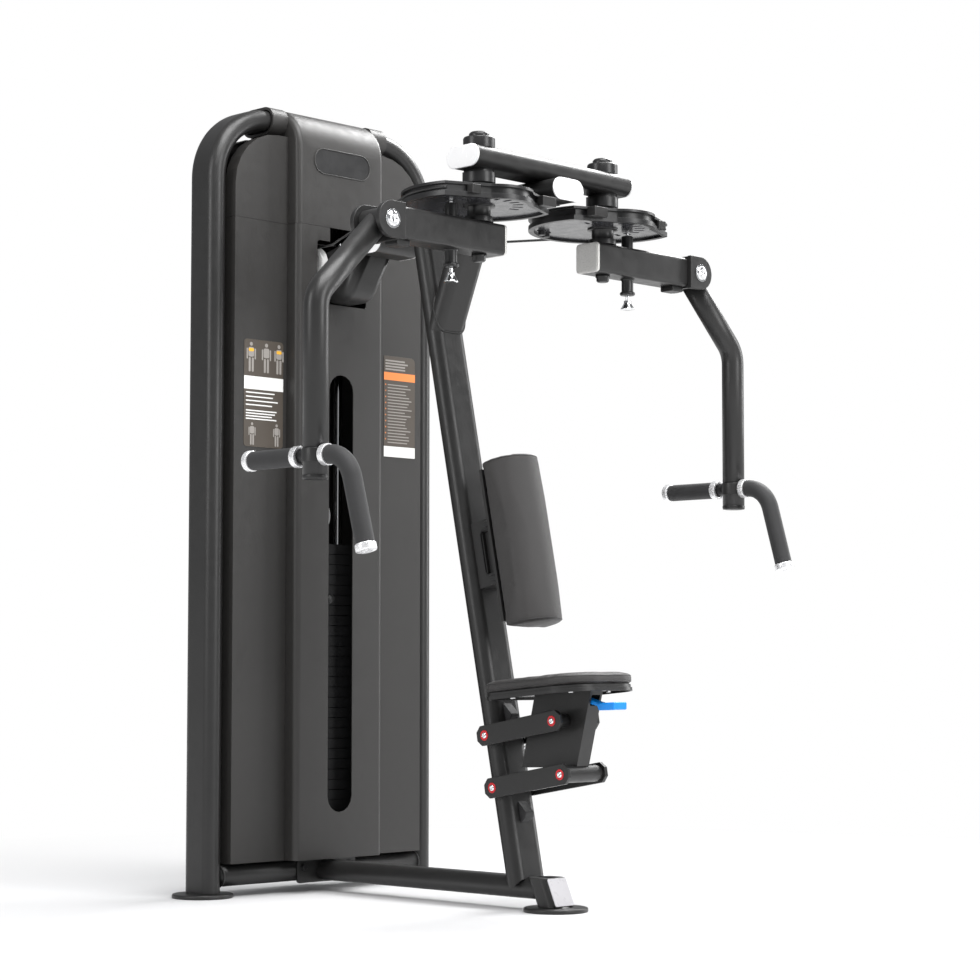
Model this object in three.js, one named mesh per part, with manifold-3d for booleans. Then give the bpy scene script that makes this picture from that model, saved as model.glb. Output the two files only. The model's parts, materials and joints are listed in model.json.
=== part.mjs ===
// Pec fly and rear delt weight-stack machine, in millimetres, +Z up.
// X runs across the machine, -Y points to the user's side, and the floor is Z = 0.
// The model is laid out from the tower: inside the machine group Y = 0 is the plane of the two tower posts.

import * as THREE from 'three';
import { mergeVertices } from 'three/addons/utils/BufferGeometryUtils.js';
import Module from 'manifold-3d';

const wasm = await Module();
wasm.setup();

// ---- driving dimensions ----

const GAP = 0.3;                    // clearance between separate pieces
const TOWER_Y = 461;                // the tower plane, seen from the middle of the footprint

const TUBE_WIDE = 100;              // flat-oval structural tube, long side
const TUBE_THIN = 50;               // flat-oval structural tube, short side
const TUBE_WALL = 3;
const CAP_THICK = 4;

const FOOT_R = 73;
const FOOT_HEIGHT = 10;
const FOOT_BOSS_R = 20;
const FRONT_BOSS_R = 16;

const POST_X = 345;                 // tower posts
const ARCH_TOP_Z = 1920;
const ARCH_BEND_R = 160;            // centreline radius of the arch corners
const BASE_Z = 50;                  // centre height of the floor-level tubes
const FRONT_FOOT_Y = -828;
const BEAM_WIDE = 70;               // base beam, flat-oval with TUBE_THIN as its height
const NOSE_WIDE = 76;               // slanted stub at the beam's front end, standing on the front foot
const NOSE_DEPTH = 50;
const NOSE_SLOPE = 24;              // degrees from upright
const NOSE_FRONT_Y = -837;          // front face of the stub at the height of the beam's centre

const PANEL_THICK = 2.5;            // tower cladding
const WING_Y = -62;                 // front plane of the side panels
const WING_X = 311;
const RAISED_Y = -102;              // front plane of the raised centre
const RAISED_X = 144;
const RAISED_EDGE_R = 15;
const PANEL_BOTTOM_Z = 80;
const SPLIT_Z = 1638;               // seam between the lower panels and the top hood
const HOOD_ARC_R = 100;
const HOOD_TOP_RISE = 12;           // hood over the top of the arch
const HOOD_CORNER_R = 135;
const COLLAR_OUTER_X = 190;         // saddles of the hood round the arch
const BADGE_Z = 1802;
const BADGE_SIZE = [182, 60];

const STACK_PITCH = 25.4;           // one-inch weight plates
const RESTING_PLATES = 23;
const LIFTED_PLATES = 6;
const STACK_BOTTOM_Z = 118;
const RESTING_TOP_Z = STACK_BOTTOM_Z + RESTING_PLATES * STACK_PITCH;
const LIFTED_TOP_Z = RESTING_TOP_Z + LIFTED_PLATES * STACK_PITCH;
const PLATE_HALF_X = 115;
const PLATE_HALF_Y = 45;
const ROD_R = 13;                   // selector rod
const SELECTOR_PIN_R = 5;
const GUIDE_X = 80;
const GUIDE_R = 11;
const CABLE_R = 3;
const CABLE_Z = 1592;               // height of the arm cables
const TOWER_PULLEY_X = 45;
const PULLEY_R = 40;
const STACK_PULLEY_R = TOWER_PULLEY_X - CABLE_R;
const STACK_PULLEY_Z = LIFTED_TOP_Z + 72;
const TOWER_PULLEY_AXLE = [-PULLEY_R - CABLE_R, CABLE_Z - PULLEY_R - CABLE_R];   // Y, Z
const AXLE_R = 8;
const CABLE_TURN_Y = -112;          // where a cable turns to run straight back over its pulley

const POST_TOP_Y = -412.5;          // main post centreline under the boom
const POST_SLOPE = 0.2083;          // main post run per rise, leaning away from the user
const BRACE_SLOPE = 0.408;
const BRACE_FOOT = [-471, 1354];    // Y, Z where the brace leaves the main post
const BOOM_Z = 1634;
const POST_TOP_Z = BOOM_Z - TUBE_THIN / 2;
const BOOM_FRONT_Y = -873;
const BOOM_REAR_Y = -200;
const NECK_REAR_Y = -30;
const NECK_Z = 1474;

const SHAFT_X = 207;                // arm shafts
const SHAFT_Y = -790;
const SHAFT_R = 15;
const HOUSING_R = 28;               // bearing sleeve round a shaft
const CROSSBAR_Z = 1684.3;
const CROSSBAR_HALF = 260;

const CAM_BOTTOM_Z = 1579;
const CAM_TOP_Z = 1606;
const CAM_R = 176;                  // rim radius round the shaft
const CAM_GROOVE_R = CAM_R - 9;
const CAM_FLANGE = 6;
const SLOT_RING_R = 88;             // radius of the start-position slots
const POP_PIN_R = 4;
const POP_PIN_THROW = 12;
const SLOT_STEP = 18;               // degrees between the slots

const ARM_Z = 1504.5;
const ARM_SIZE = 70;
const ARM_INNER_X = 155;
const ARM_OUTER_X = 484;
const HINGE_X = 515;                // handle hinge at the arm's outer end
const EAR_R = 40;
const EAR_THICK = 12;
const HINGE_BOLT_R = 8;

const HANDLE_X = 691;               // hanging tube of the handle
const HANDLE_R = 27;
const HANDLE_BOTTOM_Z = 938;
const GRIP_Z = 988;
const GRIP_BAR_R = 15;
const GRIP_R = 20.5;
const GRIP_REAR_END = 214;          // Y from the tube, like the next three
const GRIP_BEND_AT = -100;
const GRIP_END = [-158, GRIP_Z - 202];
const GRIP_BEND_R = 72;

const LINK_REAR_UPPER = [-667.5, 392];   // seat linkage pivots, Y and Z
const LINK_REAR_LOWER = [-692.2, 273.8];
const LINK_REACH = [-210, 36.2];         // from a rear pivot to its front pivot
const LINK_FRONT_UPPER = LINK_REAR_UPPER.map((value, i) => value + LINK_REACH[i]);
const LINK_FRONT_LOWER = LINK_REAR_LOWER.map((value, i) => value + LINK_REACH[i]);
const LINK_INNER_X = 56;
const LINK_THICK = 10;
const LINK_SHAFT_R = 8;
const LOWER_TUBE_R = 19;                 // round tube across the front of the lower link
const CARRIER_HALF = 20;
const SEAT_TILT = 5;                     // degrees, front edge up
const SEAT_REAR_Y = -703;
const SEAT_FRONT_Y = -1000;
const SEAT_TOP_REAR_Z = 513.4;
const SEAT_HALF_X = 130;
const SEAT_FRONT_R = 90;
const SEAT_REAR_R = 40;
const SEAT_THICK = 27;

const PAD_TILT = Math.atan(POST_SLOPE);
const PAD_R = 71.5;
const PAD_SIDE = 28;                     // straight part of the pad's sides, behind its half-round front
const PAD_LENGTH = 398;
const PAD_ARC_TOP = [-677, 1028];        // Y, Z of the half round's centre at the pad's top

const ROUND_SEGMENTS = 16;
const OVAL_SEGMENTS = 6;

// ---- materials ----

const finish = (color, roughness, metalness) =>
  new THREE.MeshStandardMaterial({ color, roughness, metalness });
const powderCoat = finish(0x1d1d1f, 0.42, 0.3);
const cladding = finish(0x2f2e2d, 0.5, 0.1);
const chrome = finish(0xd9dadc, 0.12, 1);
const whiteCap = finish(0xe9eaec, 0.25, 0.4);
const paleCap = finish(0xb9b7b3, 0.35, 0.6);
const darkSteel = finish(0x262628, 0.45, 0.6);
const rubber = finish(0x232325, 0.85, 0);
const upholstery = finish(0x2b2a2a, 0.6, 0);
const nylon = finish(0xe6e6e4, 0.4, 0);
const blue = finish(0x1193f5, 0.35, 0);
const badge = finish(0x3a3a3b, 0.35, 0.4);

// ---- solid helpers ----

const rad = THREE.MathUtils.degToRad;
const postY = (z) => POST_TOP_Y - (POST_TOP_Z - z) * POST_SLOPE;

function toSolid(geometry) {
  const bare = geometry.clone();
  bare.deleteAttribute('normal');
  bare.deleteAttribute('uv');
  const merged = mergeVertices(bare, 1e-4);
  const vertProperties = new Float32Array(merged.attributes.position.array);
  const triVerts = new Uint32Array(merged.index.array);
  return new wasm.Manifold(new wasm.Mesh({ numProp: 3, vertProperties, triVerts }));
}

function toGeometry(solid) {
  const mesh = solid.getMesh();
  const geometry = new THREE.BufferGeometry();
  geometry.setAttribute('position', new THREE.BufferAttribute(new Float32Array(mesh.vertProperties), 3));
  geometry.setIndex(new THREE.BufferAttribute(new Uint32Array(mesh.triVerts), 1));
  return geometry;
}

function join(...geometries) {
  return toGeometry(geometries.map(toSolid).reduce((sum, next) => sum.add(next)));
}

function cut(base, ...tools) {
  return toGeometry(tools.map(toSolid).reduce((rest, tool) => rest.subtract(tool), toSolid(base)));
}

function box(sizeX, sizeY, sizeZ, x, y, z) {
  return new THREE.BoxGeometry(sizeX, sizeY, sizeZ).translate(x, y, z);
}

// A box between two corners.
function span(low, high) {
  const size = high.map((value, i) => value - low[i]);
  const middle = high.map((value, i) => (value + low[i]) / 2);
  return box(...size, ...middle);
}

function rodX(radius, x0, x1, y, z, segments = ROUND_SEGMENTS) {
  const rod = new THREE.CylinderGeometry(radius, radius, x1 - x0, segments);
  return rod.rotateZ(Math.PI / 2).translate((x0 + x1) / 2, y, z);
}

function rodY(radius, y0, y1, x, z, segments = ROUND_SEGMENTS) {
  return new THREE.CylinderGeometry(radius, radius, y1 - y0, segments).translate(x, (y0 + y1) / 2, z);
}

function rodZ(radius, z0, z1, x, y, segments = ROUND_SEGMENTS) {
  const rod = new THREE.CylinderGeometry(radius, radius, z1 - z0, segments);
  return rod.rotateX(Math.PI / 2).translate(x, y, (z0 + z1) / 2);
}

// A turned piece standing on Z; profile is a list of [radius, z] that starts and ends on the axis.
function turned(profile, x, y, segments = ROUND_SEGMENTS) {
  const points = profile.map(([radius, z]) => new THREE.Vector2(radius, z));
  return new THREE.LatheGeometry(points, segments).rotateX(Math.PI / 2).translate(x, y, 0);
}

// Outline with two straight sides and two half-round ends, long side along the outline's own x.
function ovalOutline(wide, thin, segments = OVAL_SEGMENTS) {
  const radius = thin / 2;
  const reach = (wide - thin) / 2;
  const points = [];
  for (const side of [1, -1]) {
    for (let i = 0; i <= segments; i += 1) {
      const angle = -Math.PI / 2 + (Math.PI * i) / segments;
      const x = reach + radius * Math.cos(angle);
      points.push(new THREE.Vector2(side * x, side * radius * Math.sin(angle)));
    }
  }
  return points;
}

function circleOutline(radius, segments = ROUND_SEGMENTS) {
  return Array.from({ length: segments }, (_, i) => {
    const angle = (2 * Math.PI * i) / segments;
    return new THREE.Vector2(radius * Math.cos(angle), radius * Math.sin(angle));
  });
}

// Outline with rounded corners; corners is a list of [x, y, radius].
function roundedOutline(corners, segments = 4) {
  const points = [];
  corners.forEach(([x, y, radius], i) => {
    const corner = new THREE.Vector2(x, y);
    if (!radius) {
      points.push(corner);
      return;
    }
    const before = corners[(i + corners.length - 1) % corners.length];
    const after = corners[(i + 1) % corners.length];
    const toBefore = new THREE.Vector2(before[0] - x, before[1] - y).normalize();
    const toAfter = new THREE.Vector2(after[0] - x, after[1] - y).normalize();
    const half = Math.acos(THREE.MathUtils.clamp(toBefore.dot(toAfter), -1, 1)) / 2;
    const middle = toBefore.clone().add(toAfter).normalize();
    const centre = corner.clone().addScaledVector(middle, radius / Math.sin(half));
    const start = corner.clone().addScaledVector(toBefore, radius / Math.tan(half)).sub(centre);
    const sweep = Math.PI - 2 * half;
    const turn = Math.sign(toAfter.cross(toBefore)) || 1;
    for (let k = 0; k <= segments; k += 1) {
      const spoke = start.clone().rotateAround(new THREE.Vector2(), (turn * sweep * k) / segments);
      points.push(spoke.add(centre));
    }
  });
  return points;
}

function shapeOf(outline, ...holes) {
  const shape = new THREE.Shape(outline);
  holes.forEach((hole) => shape.holes.push(new THREE.Path(hole)));
  return shape;
}

// A plan outline raised from z0 to z1.
function raise(shape, z0, z1) {
  return new THREE.ExtrudeGeometry(shape, { depth: z1 - z0, bevelEnabled: false }).translate(0, 0, z0);
}

// A side outline, drawn as [y, z], stretched from x0 to x1.
function stretchX(shape, x0, x1) {
  const geometry = new THREE.ExtrudeGeometry(shape, { depth: x1 - x0, bevelEnabled: false });
  const axes = new THREE.Matrix4().makeBasis(
    new THREE.Vector3(0, 1, 0),
    new THREE.Vector3(0, 0, 1),
    new THREE.Vector3(1, 0, 0),
  );
  return geometry.applyMatrix4(axes).translate(x0, 0, 0);
}

// A front outline, drawn as [x, z], stretched from y0 to y1.
function stretchY(shape, y0, y1) {
  const geometry = new THREE.ExtrudeGeometry(shape, { depth: y1 - y0, bevelEnabled: false });
  return geometry.rotateX(Math.PI / 2).translate(0, y1, 0);
}

// A path through given stations: straight runs need only their ends, bends have one station per facet.
// The path stays in one plane, and the section's own x keeps to the axis across that plane.
class StationPath extends THREE.Curve {
  constructor(stations, across) {
    super();
    this.stations = stations;
    this.across = across;
  }

  station(t) {
    return this.stations[Math.round(t * (this.stations.length - 1))];
  }

  getPoint(t) {
    return this.station(t).point.clone();
  }

  getPointAt(u) {
    return this.getPoint(u);
  }

  computeFrenetFrames() {
    const tangents = this.stations.map((station) => station.tangent);
    const normals = tangents.map(() => this.across.clone());
    const binormals = tangents.map((tangent) => tangent.clone().cross(this.across));
    return { tangents, normals, binormals };
  }
}

// Stations of a polyline whose inner corners are rounded to the given radius.
function bentPath(corners, radius, segments = 6) {
  const knots = corners.map((corner) => new THREE.Vector3(...corner));
  const last = knots.length - 1;
  const run = (i) => knots[i + 1].clone().sub(knots[i]).normalize();
  const stations = [{ point: knots[0], tangent: run(0) }];
  for (let i = 1; i < last; i += 1) {
    const arriving = run(i - 1);
    const leaving = run(i);
    const turn = arriving.angleTo(leaving);
    const inward = leaving.clone().addScaledVector(arriving, -leaving.dot(arriving)).normalize();
    const start = knots[i].clone().addScaledVector(arriving, -radius * Math.tan(turn / 2));
    for (let k = 0; k <= segments; k += 1) {
      const angle = (turn * k) / segments;
      const point = start.clone().addScaledVector(arriving, radius * Math.sin(angle));
      point.addScaledVector(inward, radius * (1 - Math.cos(angle)));
      const tangent = arriving.clone().multiplyScalar(Math.cos(angle));
      tangent.addScaledVector(inward, Math.sin(angle));
      stations.push({ point, tangent });
    }
  }
  stations.push({ point: knots[last], tangent: run(last - 1) });
  return stations;
}

const ACROSS = { x: new THREE.Vector3(1, 0, 0), y: new THREE.Vector3(0, 1, 0), z: new THREE.Vector3(0, 0, 1) };

function sweep(shape, stations, across) {
  const extrudePath = new StationPath(stations, ACROSS[across]);
  return new THREE.ExtrudeGeometry(shape, { steps: stations.length - 1, bevelEnabled: false, extrudePath });
}

// Hollow flat-oval tube along a path; its long side lies on the axis named by across.
function ovalTube(stations, across, wide = TUBE_WIDE) {
  const outer = ovalOutline(wide, TUBE_THIN);
  const bore = ovalOutline(wide - 2 * TUBE_WALL, TUBE_THIN - 2 * TUBE_WALL);
  return sweep(shapeOf(outer, bore), stations, across);
}

// The space a flat-oval tube fills, grown on all sides, for cutting its neighbours.
function ovalEnvelope(stations, across, grow, wide = TUBE_WIDE) {
  return sweep(shapeOf(ovalOutline(wide + 2 * grow, TUBE_THIN + 2 * grow)), stations, across);
}

function roundTube(radius, bore, stations, across, segments = ROUND_SEGMENTS) {
  const outer = circleOutline(radius, segments);
  return sweep(bore ? shapeOf(outer, circleOutline(bore, segments)) : shapeOf(outer), stations, across);
}

// ---- the machine ----

const machine = new THREE.Group();
machine.position.set(0, TOWER_Y, 0);

function part(name, geometry, material, parent = machine) {
  const mesh = new THREE.Mesh(geometry, material);
  mesh.name = name;
  parent.add(mesh);
  return mesh;
}

const MIRRORED_SIDES = [['left', -1], ['right', 1]];

// Arch of the tower: two posts and the rounded top in one bent tube.
function archPath() {
  const top = ARCH_TOP_Z - TUBE_THIN / 2;
  const bottom = FOOT_HEIGHT + GAP;
  const corners = [[-POST_X, bottom], [-POST_X, top], [POST_X, top], [POST_X, bottom]];
  return bentPath(corners.map(([x, z]) => [x, 0, z]), ARCH_BEND_R, 7);
}

function addTowerFrame() {
  part('tower_frame', ovalTube(archPath(), 'y'), powderCoat);
  const reach = POST_X - TUBE_THIN / 2 - GAP;
  part('base_crossmember', ovalTube(bentPath([[-reach, 0, BASE_Z], [reach, 0, BASE_Z]], 0), 'y'), powderCoat);
}

// Disc foot with a round boss that reaches up into the tube above.
function foot(x, y, bossR, bossHeight) {
  const bossTop = FOOT_HEIGHT + bossHeight;
  return turned([[0, 0], [FOOT_R, 0], [FOOT_R, FOOT_HEIGHT - 3], [FOOT_R - 3, FOOT_HEIGHT],
    [bossR, FOOT_HEIGHT], [bossR, bossTop], [0, bossTop]], x, y, 28);
}

function addFeet() {
  for (const [side, sign] of MIRRORED_SIDES) {
    part(`tower_foot_${side}`, foot(sign * POST_X, 0, FOOT_BOSS_R, 12), powderCoat);
  }
  part('front_foot', foot(0, FRONT_FOOT_Y, FRONT_BOSS_R, 8), powderCoat);
}

// Tall outline of the cladding wings, following the inside of the arch; low is its bottom height.
function wingOutline(low, high, cornerRadius) {
  return roundedOutline([[-WING_X, low, 0], [WING_X, low, 0], [WING_X, high, cornerRadius],
    [-WING_X, high, cornerRadius]], 6);
}

// Cross-section of the raised centre: a shallow channel open to the back.
function channelOutline(depth) {
  const wall = PANEL_THICK;
  const r = RAISED_EDGE_R;
  return roundedOutline([[-RAISED_X, depth, 0], [-RAISED_X, 0, r], [RAISED_X, 0, r], [RAISED_X, depth, 0],
    [RAISED_X - wall, depth, 0], [RAISED_X - wall, wall, r - wall], [wall - RAISED_X, wall, r - wall],
    [wall - RAISED_X, depth, 0]], 3);
}

function obround(width, height, x, z, segments = 8) {
  const tall = height > width;
  const outline = ovalOutline(Math.max(width, height), Math.min(width, height), segments);
  return outline.map((p) => {
    const [across, up] = tall ? [-p.y, p.x] : [p.x, p.y];
    return new THREE.Vector2(x + across, z + up);
  });
}

function addSidePanels() {
  for (const [side, sign] of MIRRORED_SIDES) {
    const inner = RAISED_X + GAP;
    const flangeDepth = 45;
    const bottom = PANEL_BOTTOM_Z;
    const top = SPLIT_Z - GAP;
    const sheet = span([inner, WING_Y, bottom], [WING_X, WING_Y + PANEL_THICK, top]);
    const flange = span([WING_X - PANEL_THICK, WING_Y, bottom], [WING_X, WING_Y + flangeDepth, top]);
    const hem = span([inner, WING_Y, bottom], [WING_X, WING_Y + 20, bottom + PANEL_THICK]);
    const panel = join(sheet, flange, hem);
    part(`side_panel_${side}`, sign > 0 ? panel : mirrorX(panel), cladding);
  }
}

function mirrorX(geometry) {
  const mirrored = geometry.clone().scale(-1, 1, 1);
  const index = mirrored.index ? mirrored.index.array : mirrored.attributes.position.array.map((_, i) => i);
  const flipped = new Uint32Array(mirrored.index ? index.length : mirrored.attributes.position.count);
  for (let i = 0; i < flipped.length; i += 3) {
    flipped[i] = mirrored.index ? index[i] : i;
    flipped[i + 1] = mirrored.index ? index[i + 2] : i + 2;
    flipped[i + 2] = mirrored.index ? index[i + 1] : i + 1;
  }
  mirrored.setIndex(new THREE.BufferAttribute(flipped, 1));
  return mirrored;
}

function addCenterPanel() {
  const depth = WING_Y - RAISED_Y + 12;
  const outline = channelOutline(depth).map((p) => new THREE.Vector2(p.x, p.y + RAISED_Y));
  const channel = raise(shapeOf(outline), PANEL_BOTTOM_Z, SPLIT_Z - GAP);
  const slot = shapeOf(obround(80, 1080, 0, 732));
  const window = shapeOf(roundedOutline([[-82, 1446, 8], [82, 1446, 8], [82, 1603, 8], [-82, 1603, 8]]));
  const notch = span([-40, RAISED_Y - 5, 1560], [82, RAISED_Y + 10, SPLIT_Z + 5]);
  const cutDepth = [RAISED_Y - 5, RAISED_Y + 10];
  const openings = [slot, window].map((shape) => stretchY(shape, ...cutDepth));
  part('center_panel', cut(channel, ...openings, notch), cladding);
}

// The hood's raised centre rises from the seam, bends over the arch and comes down at the back.
function hoodCentre() {
  const depth = WING_Y - RAISED_Y + 12;
  const outline = channelOutline(depth);
  const bottom = SPLIT_Z + GAP;
  const top = ARCH_TOP_Z + HOOD_TOP_RISE;
  const corners = [[RAISED_Y, bottom], [RAISED_Y, top], [-RAISED_Y, top], [-RAISED_Y, bottom]];
  const stations = bentPath(corners.map(([y, z]) => [0, y, z]), HOOD_ARC_R, 7);
  return sweep(shapeOf(outline), stations, 'x');
}

function addTopHood() {
  const bottom = SPLIT_Z + GAP;
  const wingTop = ARCH_TOP_Z - TUBE_THIN - 14;
  const wings = wingOutline(bottom, wingTop, HOOD_CORNER_R);
  const wall = PANEL_THICK;
  const sheets = [];
  const boreX = RAISED_X - wall;
  for (const y of [WING_Y, -WING_Y - wall]) {
    const face = stretchY(shapeOf(wings), y, y + wall);
    const centreOpening = span([-boreX, y - 5, bottom - 5], [boreX, y + wall + 5, ARCH_TOP_Z]);
    sheets.push(cut(face, centreOpening));
  }
  const rimDepth = 40;
  const hollowX = WING_X - wall;
  const hollowCorner = [wingTop - wall, HOOD_CORNER_R - wall];
  const rimHollow = roundedOutline([[-hollowX, bottom - 9, 0], [hollowX, bottom - 9, 0],
    [hollowX, ...hollowCorner], [-hollowX, ...hollowCorner]], 6);
  const rims = [[WING_Y, WING_Y + rimDepth], [-WING_Y - rimDepth, -WING_Y]].map(([y0, y1]) => cut(
    stretchY(shapeOf(wings), y0, y1),
    stretchY(shapeOf(rimHollow), y0 - 5, y1 + 5),
  ));
  const boreY = -RAISED_Y - 20;
  const bore = span([-boreX, -boreY, bottom - 5], [boreX, boreY, wingTop + 20]);
  const collars = MIRRORED_SIDES.map(([, sign]) => hoodCollar(sign));
  const shell = join(hoodCentre(), ...sheets, ...rims.map((piece) => cut(piece, bore)), ...collars);
  const clearance = ovalEnvelope(archPath(), 'y', 1.5);
  const badgeHole = stretchY(shapeOf(obround(...BADGE_SIZE, 0, BADGE_Z)), RAISED_Y - 5, RAISED_Y + 10);
  part('top_hood', cut(shell, clearance, badgeHole), cladding);
  const plateSize = BADGE_SIZE.map((size) => size - 4 * GAP);
  const plate = stretchY(shapeOf(obround(...plateSize, 0, BADGE_Z)), RAISED_Y + 1, RAISED_Y + 3);
  part('badge_plate', plate, badge);
}

// Saddle that wraps the arch tube on either side of the raised centre.
function hoodCollar(sign) {
  const middleZ = ARCH_TOP_Z - TUBE_THIN / 2;
  const ring = (grow) => ovalOutline(TUBE_WIDE + 2 * grow, TUBE_THIN + 2 * grow, 8)
    .map((p) => new THREE.Vector2(p.x, p.y + middleZ));
  const inner = RAISED_X - PANEL_THICK;
  const [x0, x1] = sign > 0 ? [inner, COLLAR_OUTER_X] : [-COLLAR_OUTER_X, -inner];
  return stretchX(shapeOf(ring(9), ring(3)), x0, x1);
}

function addRearCover() {
  const y = -WING_Y;
  const bottom = PANEL_BOTTOM_Z;
  const top = SPLIT_Z - GAP;
  const wall = PANEL_THICK;
  const sheet = span([-WING_X, y - wall, bottom], [WING_X, y, top]);
  const flanges = [-1, 1].map((sign) => box(wall, 45, top - bottom, sign * (WING_X - wall / 2), y - 22.5,
    (top + bottom) / 2));
  const opening = span([-RAISED_X + wall, y - 10, bottom - 5], [RAISED_X - wall, y + 5, top + 5]);
  const depth = WING_Y - RAISED_Y + 2;
  const outline = channelOutline(depth).map((p) => new THREE.Vector2(p.x, -p.y - RAISED_Y)).reverse();
  const channel = raise(shapeOf(outline), bottom, top);
  part('rear_cover', join(cut(join(sheet, ...flanges), opening), channel), cladding);
}

// ---- weight stack ----

function plates(bottom, count) {
  const groove = 2;
  const top = bottom + count * STACK_PITCH - GAP;
  const plateBlock = (inset, z0, z1) => {
    const [x, y] = [PLATE_HALF_X - inset, PLATE_HALF_Y - inset];
    return span([-x, -y, z0], [x, y, z1]);
  };
  const slabs = Array.from({ length: count }, (_, i) => {
    const low = bottom + i * STACK_PITCH;
    return plateBlock(0, low, low + STACK_PITCH - groove);
  });
  return join(plateBlock(4, bottom, top), ...slabs);
}

function stackBores(bottom, top, centreR) {
  const guides = [-1, 1].map((sign) => rodZ(GUIDE_R + 1, bottom - 1, top + 1, sign * GUIDE_X, 0, 10));
  return [...guides, rodZ(centreR, bottom - 1, top + 1, 0, 0, 10)];
}

function addWeightStack() {
  const restingTop = RESTING_TOP_Z - GAP;
  const resting = plates(STACK_BOTTOM_Z, RESTING_PLATES);
  part('resting_plates', cut(resting, ...stackBores(STACK_BOTTOM_Z, restingTop, ROD_R + 1)), darkSteel);

  const pinZ = RESTING_TOP_Z + STACK_PITCH / 2;
  const pinBore = rodY(SELECTOR_PIN_R + 0.5, -PLATE_HALF_Y - 5, PLATE_HALF_Y + 5, 0, pinZ, 12);
  const lifted = cut(plates(RESTING_TOP_Z, LIFTED_PLATES),
    ...stackBores(RESTING_TOP_Z, LIFTED_TOP_Z, ROD_R + 1), pinBore);
  part('lifted_plates', lifted, darkSteel);

  const shank = rodZ(ROD_R, STACK_BOTTOM_Z + 20, LIFTED_TOP_Z + 10, 0, 0, 10);
  const block = span([-22, -14, LIFTED_TOP_Z + GAP], [22, 14, LIFTED_TOP_Z + 18]);
  const cheeks = [-1, 1].map((sign) => span([-16, sign > 0 ? 10 : -14, LIFTED_TOP_Z + 10],
    [16, sign > 0 ? 14 : -10, STACK_PULLEY_Z + 12]));
  const axle = rodY(6, -14, 14, 0, STACK_PULLEY_Z, 16);
  part('selector_rod', cut(join(shank, block, ...cheeks, axle), pinBore), chrome);

  const pin = rodY(SELECTOR_PIN_R, -PLATE_HALF_Y - 2, ROD_R + 4, 0, pinZ, 16);
  const knob = rodY(12, -PLATE_HALF_Y - 26, -PLATE_HALF_Y - 1, 0, pinZ, 16);
  part('selector_pin', join(pin, knob), chrome);
}

function addGuideRods() {
  for (const [side, sign] of MIRRORED_SIDES) {
    const low = BASE_Z + TUBE_THIN / 2 + GAP;
    const high = ARCH_TOP_Z - TUBE_THIN - GAP;
    part(`guide_rod_${side}`, rodZ(GUIDE_R, low, high, sign * GUIDE_X, 0, 14), chrome);
  }
}

// ---- pulleys and cables ----

// Grooved wheel turning on X at the origin; radius is the groove's own radius.
function pulley(radius, bore, width) {
  const half = width / 2;
  const rimR = radius + 7;
  const profile = [[bore, -half], [rimR, -half], [rimR, 2 - half], [radius, -2.5], [radius, 2.5],
    [rimR, half - 2], [rimR, half], [bore, half], [bore, -half]];
  const points = profile.map(([r, z]) => new THREE.Vector2(r, z));
  return new THREE.LatheGeometry(points, ROUND_SEGMENTS).rotateZ(-Math.PI / 2);
}

function addPulleys() {
  const [axleY, axleZ] = TOWER_PULLEY_AXLE;
  for (const [side, sign] of MIRRORED_SIDES) {
    const wheel = pulley(PULLEY_R - GAP, AXLE_R + GAP, 20).translate(sign * TOWER_PULLEY_X, axleY, axleZ);
    part(`tower_pulley_${side}`, wheel, nylon);
  }
  const wheel = pulley(STACK_PULLEY_R - GAP, 6 + GAP, 16).rotateZ(Math.PI / 2);
  wheel.translate(0, 0, STACK_PULLEY_Z);
  part('stack_pulley', wheel, nylon);
}

// Axle of the tower pulleys with two cheek plates that run on to the underside of the boom.
function addPulleyBracket() {
  const [axleY, axleZ] = TOWER_PULLEY_AXLE;
  const axle = rodX(AXLE_R, -60, 60, axleY, axleZ, 16);
  const boomBottom = BOOM_Z - TUBE_THIN / 2 - GAP;
  const cheek = roundedOutline([[axleY + 16, axleZ - 14, 12], [axleY + 16, axleZ + 16, 12],
    [BOOM_REAR_Y - 1, boomBottom, 0], [BOOM_REAR_Y - 8, boomBottom, 0], [axleY - 20, axleZ - 14, 12]]);
  const plates = [-1, 1].map((sign) => stretchX(shapeOf(cheek), sign * 28 - 3, sign * 28 + 3));
  part('pulley_bracket', join(axle, ...plates), powderCoat);
}

// Where the straight run of the cable leaves the cam on its outer side, seen from above.
function camTangent() {
  const toPulley = new THREE.Vector2(SHAFT_X - TOWER_PULLEY_X, CABLE_TURN_Y - SHAFT_Y);
  const grooveR = CAM_GROOVE_R + CABLE_R + GAP;
  const angle = toPulley.angle() + Math.acos(grooveR / toPulley.length());
  return [-SHAFT_X + grooveR * Math.cos(angle), SHAFT_Y + grooveR * Math.sin(angle)];
}

function addCables() {
  const [tangentX, tangentY] = camTangent();
  const [axleY] = TOWER_PULLEY_AXLE;
  for (const [side, sign] of MIRRORED_SIDES) {
    const pulleyX = sign * TOWER_PULLEY_X;
    const corners = [[-sign * tangentX, tangentY], [pulleyX, CABLE_TURN_Y], [pulleyX, axleY]];
    const path = bentPath(corners.map(([x, y]) => [x, y, CABLE_Z]), 60, 3);
    part(`arm_cable_${side}`, roundTube(CABLE_R, 0, path, 'z', 6), rubber);
  }
  const x = STACK_PULLEY_R + CABLE_R;
  const top = TOWER_PULLEY_AXLE[1];
  const low = STACK_PULLEY_Z - x;
  const loop = bentPath([[-x, 0, top], [-x, 0, low], [x, 0, low], [x, 0, top]], x - 0.01, 6);
  part('stack_cable', roundTube(CABLE_R, 0, loop, 'y', 6), rubber);
}

// ---- front frame ----

function slab(z0, z1) {
  return span([-200, -1100, z0], [200, 200, z1]);
}

function postPath() {
  return bentPath([[0, postY(40), 40], [0, postY(1660), 1660]], 0);
}

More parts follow.
